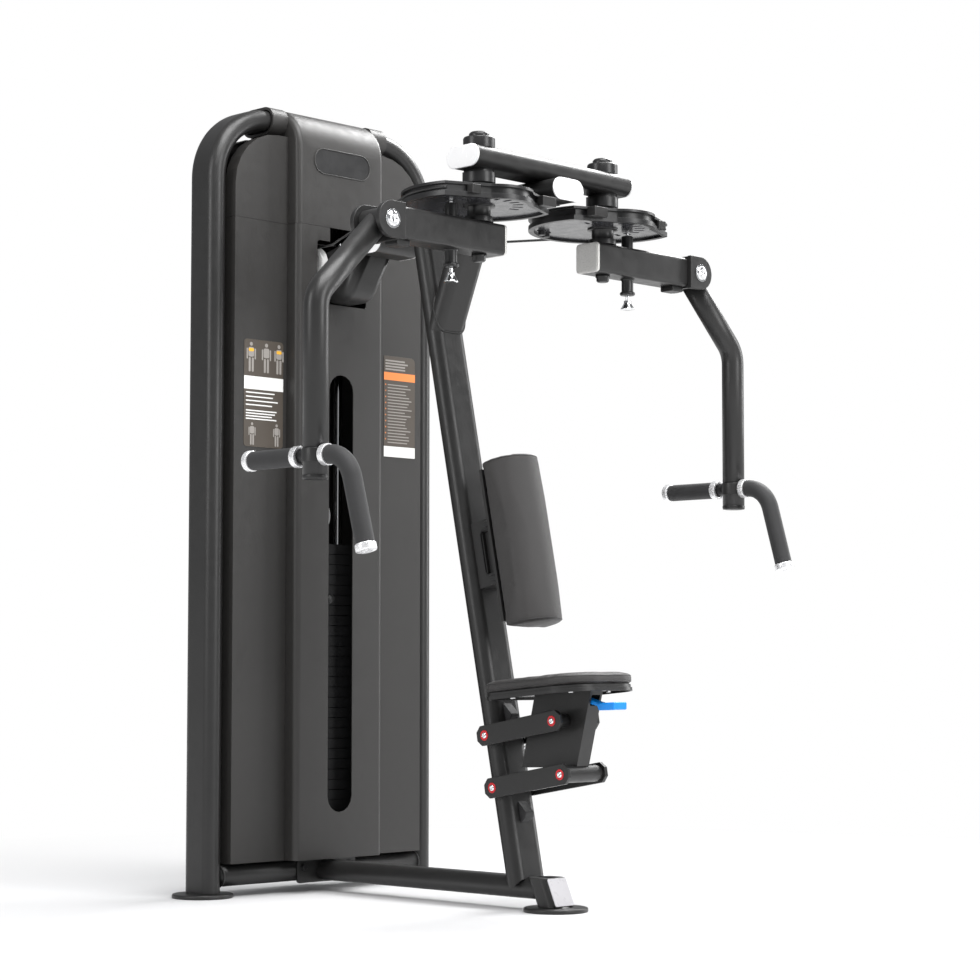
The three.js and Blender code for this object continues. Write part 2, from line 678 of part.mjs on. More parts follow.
function beamPath() {
  const rear = -TUBE_WIDE / 2 - GAP;
  return bentPath([[0, rear, BASE_Z], [0, NOSE_FRONT_Y, BASE_Z]], 0);
}

// Tilts a piece drawn behind the Y = 0 plane onto the sloping front of the base beam.
function onNose(geometry) {
  return geometry.rotateX(rad(-NOSE_SLOPE)).translate(0, NOSE_FRONT_Y, BASE_Z);
}

// Upright block with rounded edges, tilted like the nose and cut off level at top.
function nosePrism(inset, top) {
  const x = NOSE_WIDE / 2 - inset;
  const [front, rear] = [inset, NOSE_DEPTH - inset];
  const cornerR = 16 - inset;
  const corners = [[-x, front], [x, front], [x, rear], [-x, rear]];
  const section = roundedOutline(corners.map((corner) => [...corner, cornerR]), 5);
  return cut(onNose(raise(shapeOf(section), -90, 60)), slab(top, top + 100));
}

function addBaseBeam() {
  const ahead = onNose(span([-100, -100, -150], [100, NOSE_DEPTH / 2, 150]));
  const beam = cut(ovalTube(beamPath(), 'x', BEAM_WIDE), ahead);
  const bottom = FOOT_HEIGHT + GAP;
  const top = BASE_Z + TUBE_THIN / 2;
  const stub = cut(nosePrism(0, top), slab(-100, bottom));
  part('base_beam', cut(join(beam, stub), nosePrism(TUBE_WALL, top - TUBE_WALL)), powderCoat);
  const panelX = 30;
  const [low, high] = [-41, 25];
  const corners = [[-panelX, low], [panelX, low], [panelX, high], [-panelX, high]];
  const panel = roundedOutline(corners.map((corner) => [...corner, 4]), 2);
  part('base_beam_cap', onNose(stretchY(shapeOf(panel), -CAP_THICK - GAP, -GAP)), paleCap);
}

// The post straddles the base beam: its round sides reach down past the beam's shoulders to a point.
function addMainPost() {
  const tipZ = BASE_Z - 4;
  const tipY = postY(tipZ + 20);
  const flank = 60;
  const rise = 56;
  const below = stretchX(shapeOf([[tipY + flank, 0], [tipY + flank, tipZ + rise], [tipY, tipZ],
    [tipY - flank, tipZ + rise], [tipY - flank, 0]].map(([y, z]) => new THREE.Vector2(y, z))), -80, 80);
  const beam = ovalEnvelope(beamPath(), 'x', GAP, BEAM_WIDE);
  const roof = slab(POST_TOP_Z - GAP, 1800);
  const bores = [LINK_REAR_UPPER, LINK_REAR_LOWER].map((at) => rodX(LINK_SHAFT_R + 0.6, -80, 80, ...at));
  part('main_post', cut(ovalTube(postPath(), 'x'), below, beam, roof, ...bores), powderCoat);
}

function bracePath(lower) {
  const [y, z] = BRACE_FOOT;
  const top = 1660;
  return bentPath([[0, y + lower * BRACE_SLOPE, z - lower], [0, y - (top - z) * BRACE_SLOPE, top]], 0);
}

function addBrace() {
  const roof = slab(POST_TOP_Z - GAP, 1800);
  const postEnvelope = ovalEnvelope(postPath(), 'x', GAP);
  const behind = [[postY(1100), 1100], [postY(1650), 1650], [0, 1650], [0, 1100]];
  const behindPost = stretchX(shapeOf(behind.map(([y, z]) => new THREE.Vector2(y, z))), -100, 100);
  part('post_brace', cut(ovalTube(bracePath(60), 'x'), roof, postEnvelope, behindPost), powderCoat);
}

function addBoom() {
  const tubeEnd = BOOM_FRONT_Y + CAP_THICK + GAP;
  part('boom', ovalTube(bentPath([[0, BOOM_REAR_Y, BOOM_Z], [0, tubeEnd, BOOM_Z]], 0), 'x'), powderCoat);
  const cap = shiftedOval(TUBE_THIN, 0, BOOM_Z);
  part('boom_cap', stretchY(cap, BOOM_FRONT_Y, BOOM_FRONT_Y + CAP_THICK), whiteCap);
}

// Flat-oval shape of full tube width, moved off the origin.
function shiftedOval(thin, dx, dy, grow = 0) {
  const outline = ovalOutline(TUBE_WIDE + 2 * grow, thin + 2 * grow);
  return shapeOf(outline.map((p) => new THREE.Vector2(p.x + dx, p.y + dy)));
}

// Neck that carries the boom's rear end down and back into the tower, and the short cross tube under the boom.
function addNeck() {
  const boomBottom = POST_TOP_Z - GAP;
  const crossHigh = 58;
  const crossZ = boomBottom - crossHigh / 2;
  const crossY = -266;
  const crossHalf = 65;
  const crossTube = stretchX(shiftedOval(crossHigh, crossY, crossZ), -crossHalf, crossHalf);
  part('rear_cross_tube', crossTube, powderCoat);
  const clearance = stretchX(shiftedOval(crossHigh, crossY, crossZ, GAP), -90, 90);
  const path = [[0, NECK_REAR_Y, NECK_Z], [0, -158, NECK_Z], [0, -232, 1590]];
  const pipe = ovalTube(bentPath(path, 30, 4), 'x');
  part('boom_neck', cut(pipe, clearance, slab(boomBottom, 1700)), powderCoat);
}

function addCrossbar() {
  const capAt = CROSSBAR_HALF - CAP_THICK;
  const reach = capAt - GAP;
  const bar = ovalTube(bentPath([[-reach, SHAFT_Y, CROSSBAR_Z], [reach, SHAFT_Y, CROSSBAR_Z]], 0), 'y');
  const bores = [-1, 1].map((sign) => rodZ(HOUSING_R + GAP, 1600, 1760, sign * SHAFT_X, SHAFT_Y));
  part('crossbar', cut(bar, ...bores), powderCoat);
  const outline = shiftedOval(TUBE_THIN, SHAFT_Y, CROSSBAR_Z);
  for (const [side, sign] of MIRRORED_SIDES) {
    const [x0, x1] = sign > 0 ? [capAt, CROSSBAR_HALF] : [-CROSSBAR_HALF, -capAt];
    part(`crossbar_cap_${side}`, stretchX(outline, x0, x1), whiteCap);
  }
}

// Bearing housing of an arm shaft, with a collar above and below the crossbar and a stop for the cam.
function addShaftHousings() {
  const barTop = CROSSBAR_Z + TUBE_THIN / 2;
  const barBottom = CROSSBAR_Z - TUBE_THIN / 2;
  const bottom = CAM_TOP_Z + 3;
  for (const [side, sign] of MIRRORED_SIDES) {
    const x = sign * SHAFT_X;
    const sleeve = rodZ(HOUSING_R, bottom, barTop + 24, x, SHAFT_Y);
    const upper = rodZ(36, barTop + GAP, barTop + 24, x, SHAFT_Y);
    const lower = rodZ(37, barBottom - 30, barBottom - GAP, x, SHAFT_Y);
    const bore = rodZ(SHAFT_R + 0.5, bottom - 5, barTop + 30, x, SHAFT_Y);
    const stop = span([x - 10, SHAFT_Y + 20, bottom + 4], [x + 10, SHAFT_Y + 44, barBottom - GAP]);
    part(`shaft_housing_${side}`, cut(join(sleeve, upper, lower, stop), bore), darkSteel);
  }
}

// ---- cams and arms, drawn for the left side at the shaft and mirrored for the right ----

function camOutline(inset) {
  const r = CAM_R - inset;
  const noseR = 92 - inset;
  const noseY = -42;
  const points = [];
  for (let i = 0; i <= 14; i += 1) {
    const angle = rad(-20 + (i * 220) / 14);
    points.push(new THREE.Vector2(r * Math.cos(angle), r * Math.sin(angle)));
  }
  for (let i = 0; i <= 4; i += 1) {
    const angle = rad(222 + i * 24);
    points.push(new THREE.Vector2(noseR * Math.cos(angle), noseY + noseR * Math.sin(angle)));
  }
  return points;
}

function slotHole(degrees) {
  const slot = new THREE.BoxGeometry(24, 9.5, 40).translate(SLOT_RING_R, 0, CAM_BOTTOM_Z);
  return slot.rotateZ(rad(degrees));
}

function camSolid() {
  const rim = (inset, hollow, z0, z1) => raise(shapeOf(camOutline(inset), camOutline(hollow)), z0, z1);
  const plate = raise(shapeOf(camOutline(0)), CAM_BOTTOM_Z, CAM_BOTTOM_Z + CAM_FLANGE);
  const lowerRim = rim(0, 13, CAM_BOTTOM_Z - 5, CAM_BOTTOM_Z + 1);
  const groove = rim(CAM_R - CAM_GROOVE_R, 22, CAM_BOTTOM_Z + CAM_FLANGE - 1, CAM_TOP_Z - CAM_FLANGE + 1);
  const upperRim = rim(0, 22, CAM_TOP_Z - CAM_FLANGE, CAM_TOP_Z);
  const capZ = CROSSBAR_Z + TUBE_THIN / 2 + 24.5;
  const armTop = ARM_Z + ARM_SIZE / 2;
  const armBottom = ARM_Z - ARM_SIZE / 2;
  const spindle = turned([[0, armBottom - 17], [15, armBottom - 17], [15, armBottom - GAP], [12, armBottom - GAP],
    [12, armTop + 1], [32, armTop + 1], [32, armTop + 14], [26, armTop + 14], [26, CAM_BOTTOM_Z - 4],
    [36, CAM_BOTTOM_Z - 4], [36, CAM_TOP_Z - 2], [SHAFT_R, CAM_TOP_Z - 2], [SHAFT_R, capZ], [23, capZ],
    [23, capZ + 10], [20, capZ + 12], [0, capZ + 12]], 0, 0);
  const innerStop = box(44, 26, 22, 120, -92, CAM_BOTTOM_Z + 12);
  const outerStop = box(26, 18, 20, -104, -88, CAM_BOTTOM_Z + 12);
  const clampEnds = [CAM_BOTTOM_Z - 12, CAM_BOTTOM_Z + 2];
  const clamps = [[58, 128], [86, 116]].map(([x, y]) => rodZ(9, ...clampEnds, x, y, 6));
  const body = join(plate, lowerRim, groove, upperRim, spindle, innerStop, outerStop, ...clamps);
  const slots = Array.from({ length: 11 }, (_, i) => slotHole(180 + (i - 1) * SLOT_STEP));
  return cut(body, ...slots);
}

function armSolid() {
  const half = ARM_SIZE / 2;
  const wall = TUBE_WALL;
  const corners = (h, r) => roundedOutline([[-h, -h, r], [h, -h, r], [h, h, r], [-h, h, r]], 2);
  const section = corners(half, 9).map((p) => new THREE.Vector2(p.x, p.y + ARM_Z));
  const inside = corners(half - wall, 6).map((p) => new THREE.Vector2(p.x, p.y + ARM_Z));
  const inner = SHAFT_X - ARM_INNER_X;
  const outer = SHAFT_X - ARM_OUTER_X;
  const tube = stretchX(shapeOf(section, inside), outer, inner);
  const hingeAt = SHAFT_X - HINGE_X;
  const ears = [-1, 1].map((sign) => {
    const plate = roundedOutline([[outer + 8, ARM_Z - EAR_R, 4], [outer + 8, ARM_Z + EAR_R, 4],
      [hingeAt - EAR_R, ARM_Z + EAR_R, EAR_R - 0.5], [hingeAt - EAR_R, ARM_Z - EAR_R, EAR_R - 0.5]], 5);
    const y = sign > 0 ? half - 0.5 : -half - EAR_THICK + 0.5;
    return stretchY(shapeOf(plate), y, y + EAR_THICK);
  });
  const endWall = span([outer, -half + 1, ARM_Z - half + 1], [outer + 4, half - 1, ARM_Z + half - 1]);
  const housingX = -SLOT_RING_R;
  const housing = rodZ(14, ARM_Z - half - 31, CAM_BOTTOM_Z - 1.2, housingX, 0, 12);
  const collar = rodZ(18, ARM_Z - half - 39, ARM_Z - half - 31 + 1, housingX, 0, 12);
  const boss = rodZ(18, ARM_Z - half, ARM_Z + half, 0, 0, 12);
  const stop = box(40, 46, 14, outer + 26, 0, ARM_Z - half - 6);
  const body = join(tube, ...ears, endWall, housing, collar, boss, stop);
  const bores = [
    rodZ(12.6, ARM_Z - half - 5, ARM_Z + half + 5, 0, 0),
    rodZ(POP_PIN_R + 0.6, ARM_Z - half - 45, CAM_BOTTOM_Z, housingX, 0, 8),
    rodY(HINGE_BOLT_R + GAP, -70, 70, hingeAt, ARM_Z, 12),
  ];
  return cut(body, ...bores);
}

function popPinSolid() {
  const collarBottom = ARM_Z - ARM_SIZE / 2 - 39;
  const top = collarBottom - POP_PIN_THROW - 0.5;
  return turned([[0, top - 22], [16, top - 22], [16, top - 19], [9, top - 8], [8, top], [POP_PIN_R, top],
    [POP_PIN_R, CAM_BOTTOM_Z - 1], [0, CAM_BOTTOM_Z - 1]], -SLOT_RING_R, 0, 12);
}

function armCapSolid() {
  const half = ARM_SIZE / 2;
  const inner = SHAFT_X - ARM_INNER_X;
  const outline = roundedOutline([[-half, ARM_Z - half, 9], [half, ARM_Z - half, 9], [half, ARM_Z + half, 9],
    [-half, ARM_Z + half, 9]], 2);
  return stretchX(shapeOf(outline), inner + GAP, inner + 4);
}

function hingeBoltSolid() {
  const x = SHAFT_X - HINGE_X;
  const face = ARM_SIZE / 2 + EAR_THICK - 0.5;
  const shank = rodY(HINGE_BOLT_R, -face - 2, face + 2, x, ARM_Z, 12);
  const head = rodY(16, -face - 7, -face - GAP, x, ARM_Z);
  const nut = rodY(14, face + GAP, face + 7, x, ARM_Z, 6);
  return join(shank, head, nut);
}

// Handle: hinge barrel, tube bent down, and the bar that carries both grips.
function handleSolid() {
  const hingeAt = SHAFT_X - HINGE_X;
  const tubeAt = SHAFT_X - HANDLE_X;
  const drop = HANDLE_X - HINGE_X;
  const barrel = rodY(28, -33.5, 33.5, hingeAt, ARM_Z);
  const knots = [[hingeAt, ARM_Z], [tubeAt, ARM_Z - drop], [tubeAt, HANDLE_BOTTOM_Z]];
  const path = bentPath(knots.map(([x, z]) => [x, 0, z]), 70, 4);
  const outer = roundTube(HANDLE_R, 0, path, 'y', 18);
  const shifts = path.map(() => 0);
  shifts[0] = HANDLE_R + 3;
  shifts[path.length - 1] = 5;
  const borePath = path.map(({ point, tangent }, i) => (
    { point: point.clone().addScaledVector(tangent, shifts[i]), tangent }));
  const bore = roundTube(HANDLE_R - TUBE_WALL, 0, borePath, 'y', 10);
  const collar = rodZ(29.5, GRIP_Z - 14, GRIP_Z + 14, tubeAt, 0);
  const bar = roundTube(GRIP_BAR_R, 0, gripPath(GRIP_REAR_END), 'x', 12);
  const hollow = cut(join(outer, barrel, collar), bore);
  return cut(join(hollow, bar), rodY(HINGE_BOLT_R + GAP, -50, 50, hingeAt, ARM_Z, 12));
}

// Stations of the grip bar from a given rear end over the bend to its lower front end.
function gripPath(rearEnd) {
  const x = SHAFT_X - HANDLE_X;
  return bentPath([[x, rearEnd, GRIP_Z], [x, GRIP_BEND_AT, GRIP_Z], [x, ...GRIP_END]], GRIP_BEND_R, 5);
}

function gripSleeves() {
  const x = SHAFT_X - HANDLE_X;
  const bore = GRIP_BAR_R + GAP;
  const rear = rodYTube(GRIP_R, bore, 62, GRIP_REAR_END - 14, x, GRIP_Z);
  const bar = gripPath(-44);
  const last = bar[bar.length - 1];
  last.point = last.point.clone().addScaledVector(last.tangent, -14);
  return { rear, front: roundTube(GRIP_R, bore, bar, 'x', 12) };
}

function rodYTube(radius, bore, y0, y1, x, z) {
  return roundTube(radius, bore, bentPath([[x, y0, z], [x, y1, z]], 0), 'x', 12);
}

function addArms() {
  const sleeves = gripSleeves();
  const pieces = [
    ['cam', camSolid(), powderCoat],
    ['arm', armSolid(), powderCoat],
    ['arm_cap', armCapSolid(), paleCap],
    ['pop_pin', popPinSolid(), chrome],
    ['hinge_bolt', hingeBoltSolid(), chrome],
    ['handle', handleSolid(), powderCoat],
    ['rear_grip', sleeves.rear, rubber],
    ['front_grip', sleeves.front, rubber],
  ];
  for (const [side, sign] of MIRRORED_SIDES) {
    const group = new THREE.Group();
    group.position.set(sign * SHAFT_X, SHAFT_Y, 0);
    machine.add(group);
    for (const [name, solid, material] of pieces) {
      part(`${name}_${side}`, sign < 0 ? solid : mirrorX(solid), material, group);
    }
  }
}

// ---- seat ----

// Bar with chamfered ends between two pivots, drawn as [y, z].
function linkOutline([y0, z0], [y1, z1]) {
  const run = new THREE.Vector2(y1 - y0, z1 - z0).normalize();
  const up = new THREE.Vector2(-run.y, run.x);
  const half = 23;
  const overhang = 25;
  const chamfer = 13;
  const corner = ([y, z], forward, side) => new THREE.Vector2(y, z)
    .addScaledVector(run, forward).addScaledVector(up, side);
  const end = [[overhang - chamfer, -half], [overhang, -half + chamfer], [overhang, half - chamfer],
    [overhang - chamfer, half]];
  const front = end.map(([forward, side]) => corner([y1, z1], forward, side));
  const rear = end.map(([forward, side]) => corner([y0, z0], -forward, -side));
  return [...front, ...rear];
}

// Two link plates joined by the rear pivot shaft and a front shaft of its own radius.
function linkSolid(rear, front, frontR) {
  const outer = LINK_INNER_X + LINK_THICK;
  const outline = shapeOf(linkOutline(rear, front));
  const plateEnds = [[-outer, -LINK_INNER_X], [LINK_INNER_X, outer]];
  const platePair = plateEnds.map((ends) => stretchX(outline, ...ends));
  const rearShaft = rodX(LINK_SHAFT_R, -LINK_INNER_X - 2, LINK_INNER_X + 2, ...rear);
  const frontShaft = rodX(frontR, -LINK_INNER_X - 2, LINK_INNER_X + 2, ...front);
  return join(...platePair, rearShaft, frontShaft);
}

function addSeatLinks() {
  const upper = linkSolid(LINK_REAR_UPPER, LINK_FRONT_UPPER, LINK_SHAFT_R);
  const bosses = [-1, 1].map((sign) => {
    const [x0, x1] = sign > 0 ? [CARRIER_HALF + 1, LINK_INNER_X + 2] : [-LINK_INNER_X - 2, -CARRIER_HALF - 1];
    return rodX(15, x0, x1, ...LINK_FRONT_UPPER);
  });
  part('seat_link_upper', join(upper, ...bosses), powderCoat);
  part('seat_link_lower', linkSolid(LINK_REAR_LOWER, LINK_FRONT_LOWER, LOWER_TUBE_R), powderCoat);
}

// Places a geometry drawn level, with its rear top edge at the origin, on the tilted seat line.
function onSeat(geometry) {
  return geometry.rotateX(rad(-SEAT_TILT)).translate(0, SEAT_REAR_Y, SEAT_TOP_REAR_Z);
}

function seatOutline(inset) {
  const front = SEAT_FRONT_Y - SEAT_REAR_Y + inset;
  const x = SEAT_HALF_X - inset;
  const frontR = SEAT_FRONT_R - inset;
  const rearR = SEAT_REAR_R - inset;
  return roundedOutline([[-x, front, frontR], [x, front, frontR], [x, -inset, rearR], [-x, -inset, rearR]], 8);
}

function addSeat() {
  part('seat_pad', onSeat(raise(shapeOf(seatOutline(0)), -SEAT_THICK, 0)), upholstery);
  const boardTop = -SEAT_THICK - GAP;
  const boardInset = 9;
  const board = onSeat(raise(shapeOf(seatOutline(boardInset)), boardTop - 9, boardTop));
  const side = [[-786, 500], [-958, 510], [-911, 325], [-742, 320]].map(([y, z]) => new THREE.Vector2(y, z));
  const body = stretchX(shapeOf(side), -CARRIER_HALF, CARRIER_HALF);
  const aboveBoard = onSeat(span([-150, -400, boardTop - 5], [150, 100, 80]));
  const pivot = rodX(LINK_SHAFT_R + 0.6, -60, 60, ...LINK_FRONT_UPPER, 20);
  const saddle = rodX(LOWER_TUBE_R + 1, -60, 60, ...LINK_FRONT_LOWER);
  const leverPocket = span([-14, -1000, 462], [14, -925, 486]);
  const carrier = join(board, cut(body, aboveBoard));
  part('seat_carrier', cut(carrier, pivot, saddle, leverPocket), powderCoat);

  const leverOutline = [[-929, 480], [-929, 470], [-985, 456], [-1024, 461], [-1024, 470], [-985, 467]];
  const lever = stretchX(shapeOf(leverOutline.map(([y, z]) => new THREE.Vector2(y, z))), -12, 12);
  const paddleOutline = [[-970, 468], [-978, 452], [-1024, 454], [-1024, 471]];
  const paddle = stretchX(shapeOf(paddleOutline.map(([y, z]) => new THREE.Vector2(y, z))), -22, 22);
  part('seat_lever', join(lever, paddle), blue);
}

// ---- back pad ----

// Turns a piece drawn upright at the origin (Y forward is -Y, Z up) to the tilt of the back pad.
function onPadLine(geometry) {
  return geometry.rotateX(-PAD_TILT).translate(0, ...PAD_ARC_TOP);
}

function addBackPad() {
  const outline = [new THREE.Vector2(PAD_R, PAD_SIDE), new THREE.Vector2(-PAD_R, PAD_SIDE)];
  for (let i = 0; i <= 16; i += 1) {
    const angle = Math.PI + (Math.PI * i) / 16;
    outline.push(new THREE.Vector2(PAD_R * Math.cos(angle), PAD_R * Math.sin(angle)));
  }
  part('back_pad', onPadLine(raise(shapeOf(outline), -PAD_LENGTH, 0)), upholstery);

  const boardRear = PAD_SIDE + 8;
  const board = span([-62, PAD_SIDE + GAP, -PAD_LENGTH + 20], [62, boardRear, -20]);
  const blockTop = -127;
  const blockBottom = -282;
  const block = span([-32, boardRear - 1, blockBottom], [32, 120, blockTop]);
  const recess = span([-40, boardRear + 5, blockBottom + 28], [-24, boardRear + 48, blockTop - 28]);
  const holder = onPadLine(cut(join(board, block), recess));
  part('back_pad_bracket', cut(holder, ovalEnvelope(postPath(), 'x', GAP)), powderCoat);
}

addTowerFrame();
addFeet();
addSidePanels();
addCenterPanel();
addTopHood();
addRearCover();
addGuideRods();
addWeightStack();
addPulleys();
addPulleyBracket();
addCables();
addBaseBeam();
addMainPost();
addBrace();
addBoom();
addNeck();
addCrossbar();
addShaftHousings();
addArms();
addSeatLinks();
addSeat();
addBackPad();

export default machine;
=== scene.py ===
"""Looks of a pec fly and rear delt weight-stack machine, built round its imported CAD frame.

Shapes are drawn in millimetres in the row frame (+Z up, -Y towards the user) and scaled to metres as they
become Blender meshes. Places come from the CAD nodes' boxes and the joints' pivots.
"""

import json
import math
import random

import bmesh
import bpy
from mathutils import Matrix, Vector
from mathutils.bvhtree import BVHTree
from mathutils.geometry import tessellate_polygon


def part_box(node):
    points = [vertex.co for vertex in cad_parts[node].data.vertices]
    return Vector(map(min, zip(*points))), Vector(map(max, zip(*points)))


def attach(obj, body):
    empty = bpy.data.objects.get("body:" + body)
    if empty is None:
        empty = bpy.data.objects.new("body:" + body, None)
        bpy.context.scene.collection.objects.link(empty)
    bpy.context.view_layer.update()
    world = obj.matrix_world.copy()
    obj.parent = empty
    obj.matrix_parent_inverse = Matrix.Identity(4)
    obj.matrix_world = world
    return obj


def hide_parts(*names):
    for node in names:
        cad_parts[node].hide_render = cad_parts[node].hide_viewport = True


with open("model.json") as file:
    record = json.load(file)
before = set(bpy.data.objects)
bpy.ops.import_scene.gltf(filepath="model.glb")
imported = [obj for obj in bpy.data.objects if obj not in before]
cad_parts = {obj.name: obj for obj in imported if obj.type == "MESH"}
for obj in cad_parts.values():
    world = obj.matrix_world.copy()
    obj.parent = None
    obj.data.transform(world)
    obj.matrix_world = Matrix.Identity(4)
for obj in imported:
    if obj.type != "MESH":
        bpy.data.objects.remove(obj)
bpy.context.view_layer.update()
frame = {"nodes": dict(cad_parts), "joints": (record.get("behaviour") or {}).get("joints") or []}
random.seed(7)

MM = 0.001
X_AXIS = Vector((1, 0, 0))
Y_AXIS = Vector((0, 1, 0))
Z_AXIS = Vector((0, 0, 1))
SIDES = (("left", -1), ("right", 1))

joints = {joint["name"]: joint for joint in frame["joints"]}


def low(node):
    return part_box(node)[0] / MM


def high(node):
    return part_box(node)[1] / MM


def middle(node):
    return (low(node) + high(node)) / 2


def pivot(joint):
    return Vector(joints[joint]["pos_m"]) / MM


# ---- materials ----


def set_inputs(tree, node, inputs):
    """Gives each named input its value, or links it when the value is another node's output."""
    for name, value in inputs.items():
        if isinstance(value, bpy.types.NodeSocket):
            tree.links.new(value, node.inputs[name])
        else:
            node.inputs[name].default_value = value


def add_node(tree, kind, inputs=None, **settings):
    node = tree.nodes.new(kind)
    for name, value in settings.items():
        setattr(node, name, value)
    set_inputs(tree, node, inputs or {})
    return node


def new_material(name):
    material = bpy.data.materials.new(name)
    material.use_nodes = True
    tree = material.node_tree
    tree.nodes.clear()
    shader = add_node(tree, "ShaderNodeBsdfPrincipled")
    add_node(tree, "ShaderNodeOutputMaterial", {"Surface": shader.outputs[0]})
    return material, tree, shader


def object_place(tree):
    return add_node(tree, "ShaderNodeTexCoord").outputs["Object"]


def noise(tree, scale, detail=3.0, stretch=(1, 1, 1)):
    """Noise in object space; scale is in cells per metre."""
    mapping = add_node(tree, "ShaderNodeMapping", {"Vector": object_place(tree), "Scale": stretch})
    inputs = {"Vector": mapping.outputs[0], "Scale": scale, "Detail": detail}
    return add_node(tree, "ShaderNodeTexNoise", inputs).outputs[0]


def remap(tree, value, low_value, high_value, start=0.3, end=0.7):
    inputs = {"Value": value, "From Min": start, "From Max": end, "To Min": low_value, "To Max": high_value}
    return add_node(tree, "ShaderNodeMapRange", inputs).outputs[0]


def blend_colors(tree, factor, first, second):
    inputs = {"Factor": factor, "A": (*first, 1), "B": (*second, 1)}
    return add_node(tree, "ShaderNodeMix", inputs, data_type="RGBA").outputs["Result"]


def tint(tree, color, scale, spread):
    """Colour that drifts slowly between a darker and a lighter shade."""
    darker = [c * (1 - spread) for c in color]
    lighter = [min(1.0, c * (1 + spread)) for c in color]
    return blend_colors(tree, noise(tree, scale), darker, lighter)


def bump(tree, height, distance, strength=1.0):
    inputs = {"Height": height, "Distance": distance, "Strength": strength}
    return add_node(tree, "ShaderNodeBump", inputs).outputs[0]


def coated(name, color, roughness, grain=900, depth=0.00006, spread=0.25):
    """Painted metal: orange-peel grain, slow drift in colour and in roughness."""
    material, tree, shader = new_material(name)
    set_inputs(tree, shader, {
        "Base Color": tint(tree, color, 6, spread),
        "Roughness": remap(tree, noise(tree, 40), roughness - 0.04, roughness + 0.06),
        "Normal": bump(tree, noise(tree, grain, 2), depth),
    })
    return material


def polished(name, color, roughness, stretch=(1, 1, 1), metallic=1.0):
    """Bare or plated metal with a faint drawn grain."""
    material, tree, shader = new_material(name)
    set_inputs(tree, shader, {
        "Base Color": (*color, 1),
        "Metallic": metallic,
        "Roughness": remap(tree, noise(tree, 260, 2, stretch), roughness * 0.7, roughness * 1.5),
        "Normal": bump(tree, noise(tree, 60, 2), 0.00005),
    })
    return material


def vinyl(name, color):
    """Upholstery vinyl: pebbled leather grain with a soft sheen."""
    material, tree, shader = new_material(name)
    place = object_place(tree)
    ripple = add_node(tree, "ShaderNodeTexNoise", {"Vector": place, "Scale": 300}).outputs["Color"]
    inputs = {0: ripple, 1: (0.0012, 0.0012, 0.0012), 2: place}
    warp = add_node(tree, "ShaderNodeVectorMath", inputs, operation="MULTIPLY_ADD").outputs[0]
    inputs = {"Vector": warp, "Scale": 620}
    cells = add_node(tree, "ShaderNodeTexVoronoi", inputs, feature="DISTANCE_TO_EDGE")
    grain = remap(tree, cells.outputs["Distance"], 0, 1, 0, 0.12)
    set_inputs(tree, shader, {
        "Base Color": tint(tree, color, 12, 0.15),
        "Roughness": remap(tree, grain, 0.62, 0.46, 0, 1),
        "Normal": bump(tree, grain, 0.00022, 0.6),
        "Sheen Weight": 0.12,
        "Sheen Roughness": 0.4,
    })
    return material


def rubbery(name, color, roughness, grain, depth):
    """Soft-touch rubber or foam: fine closed-cell texture, nearly matt."""
    material, tree, shader = new_material(name)
    cells = noise(tree, grain, 4)
    set_inputs(tree, shader, {
        "Base Color": tint(tree, color, 30, 0.2),
        "Roughness": remap(tree, cells, roughness - 0.08, roughness + 0.08),
        "Normal": bump(tree, cells, depth),
        "Sheen Weight": 0.08,
    })
    return material


def moulded(name, color, roughness):
    """Moulded plastic: smooth, with a barely visible mould texture and some light bleeding through."""
    material, tree, shader = new_material(name)
    set_inputs(tree, shader, {
        "Base Color": tint(tree, color, 20, 0.05),
        "Roughness": remap(tree, noise(tree, 90), roughness - 0.05, roughness + 0.08),
        "Normal": bump(tree, noise(tree, 1400, 2), 0.00003),
        "Subsurface Weight": 0.04,
        "Subsurface Radius": (0.002, 0.002, 0.002),
    })
    return material


BLACK_COAT = coated("black_powder_coat", (0.017, 0.0167, 0.0165), 0.36)
GREY_COAT = coated("warm_grey_cladding", (0.026, 0.0248, 0.0236), 0.43, 1300, 0.00005, 0.1)
# Weight plates: dark iron paint made nearly black as painted shade, standing for the shadow deep in the
# stack's slot.
STACK_IRON_AND_SLOT_SHADE = coated("iron_with_painted_slot_shade", (0.007, 0.007, 0.0075), 0.55, grain=500, depth=0.00012)
HOUSING_COAT = coated("housing_black", (0.012, 0.012, 0.0125), 0.33)
CHROME = polished("chrome", (0.86, 0.87, 0.88), 0.07)
BOLT_STEEL = polished("bolt_steel", (0.72, 0.72, 0.73), 0.2)
# Cam plates: glossy powder coat, lighter and bluer than the frame's; the extra lightness is painted sheen for
# the light on the cams' undersides.
CAM_COAT_PAINTED_SHEEN = coated("cam_coat_painted_sheen", (0.030, 0.030, 0.034), 0.2, depth=0.00003, spread=0.08)
ALUMINIUM = polished("bright_aluminium", (0.93, 0.93, 0.94), 0.26, metallic=0.6)
SATIN_STEEL = polished("satin_steel", (0.72, 0.71, 0.69), 0.34, (1, 8, 1), 0.55)
WHITE_CAP = moulded("white_cap", (0.95, 0.95, 0.96), 0.22)
PALE_CAP = moulded("pale_cap", (0.56, 0.55, 0.57), 0.3)
NYLON = moulded("nylon", (0.82, 0.82, 0.81), 0.35)
BLUE = moulded("blue_lever", (0.006, 0.27, 0.84), 0.32)
RED = moulded("red_washer", (0.62, 0.012, 0.02), 0.35)
BLACK_PLASTIC = moulded("black_plastic", (0.012, 0.012, 0.012), 0.4)
GRIP_RUBBER = rubbery("grip_rubber", (0.021, 0.021, 0.022), 0.66, 1500, 0.00018)
CABLE_SHEATH = rubbery("cable_sheath", (0.02, 0.02, 0.02), 0.4, 700, 0.00003)
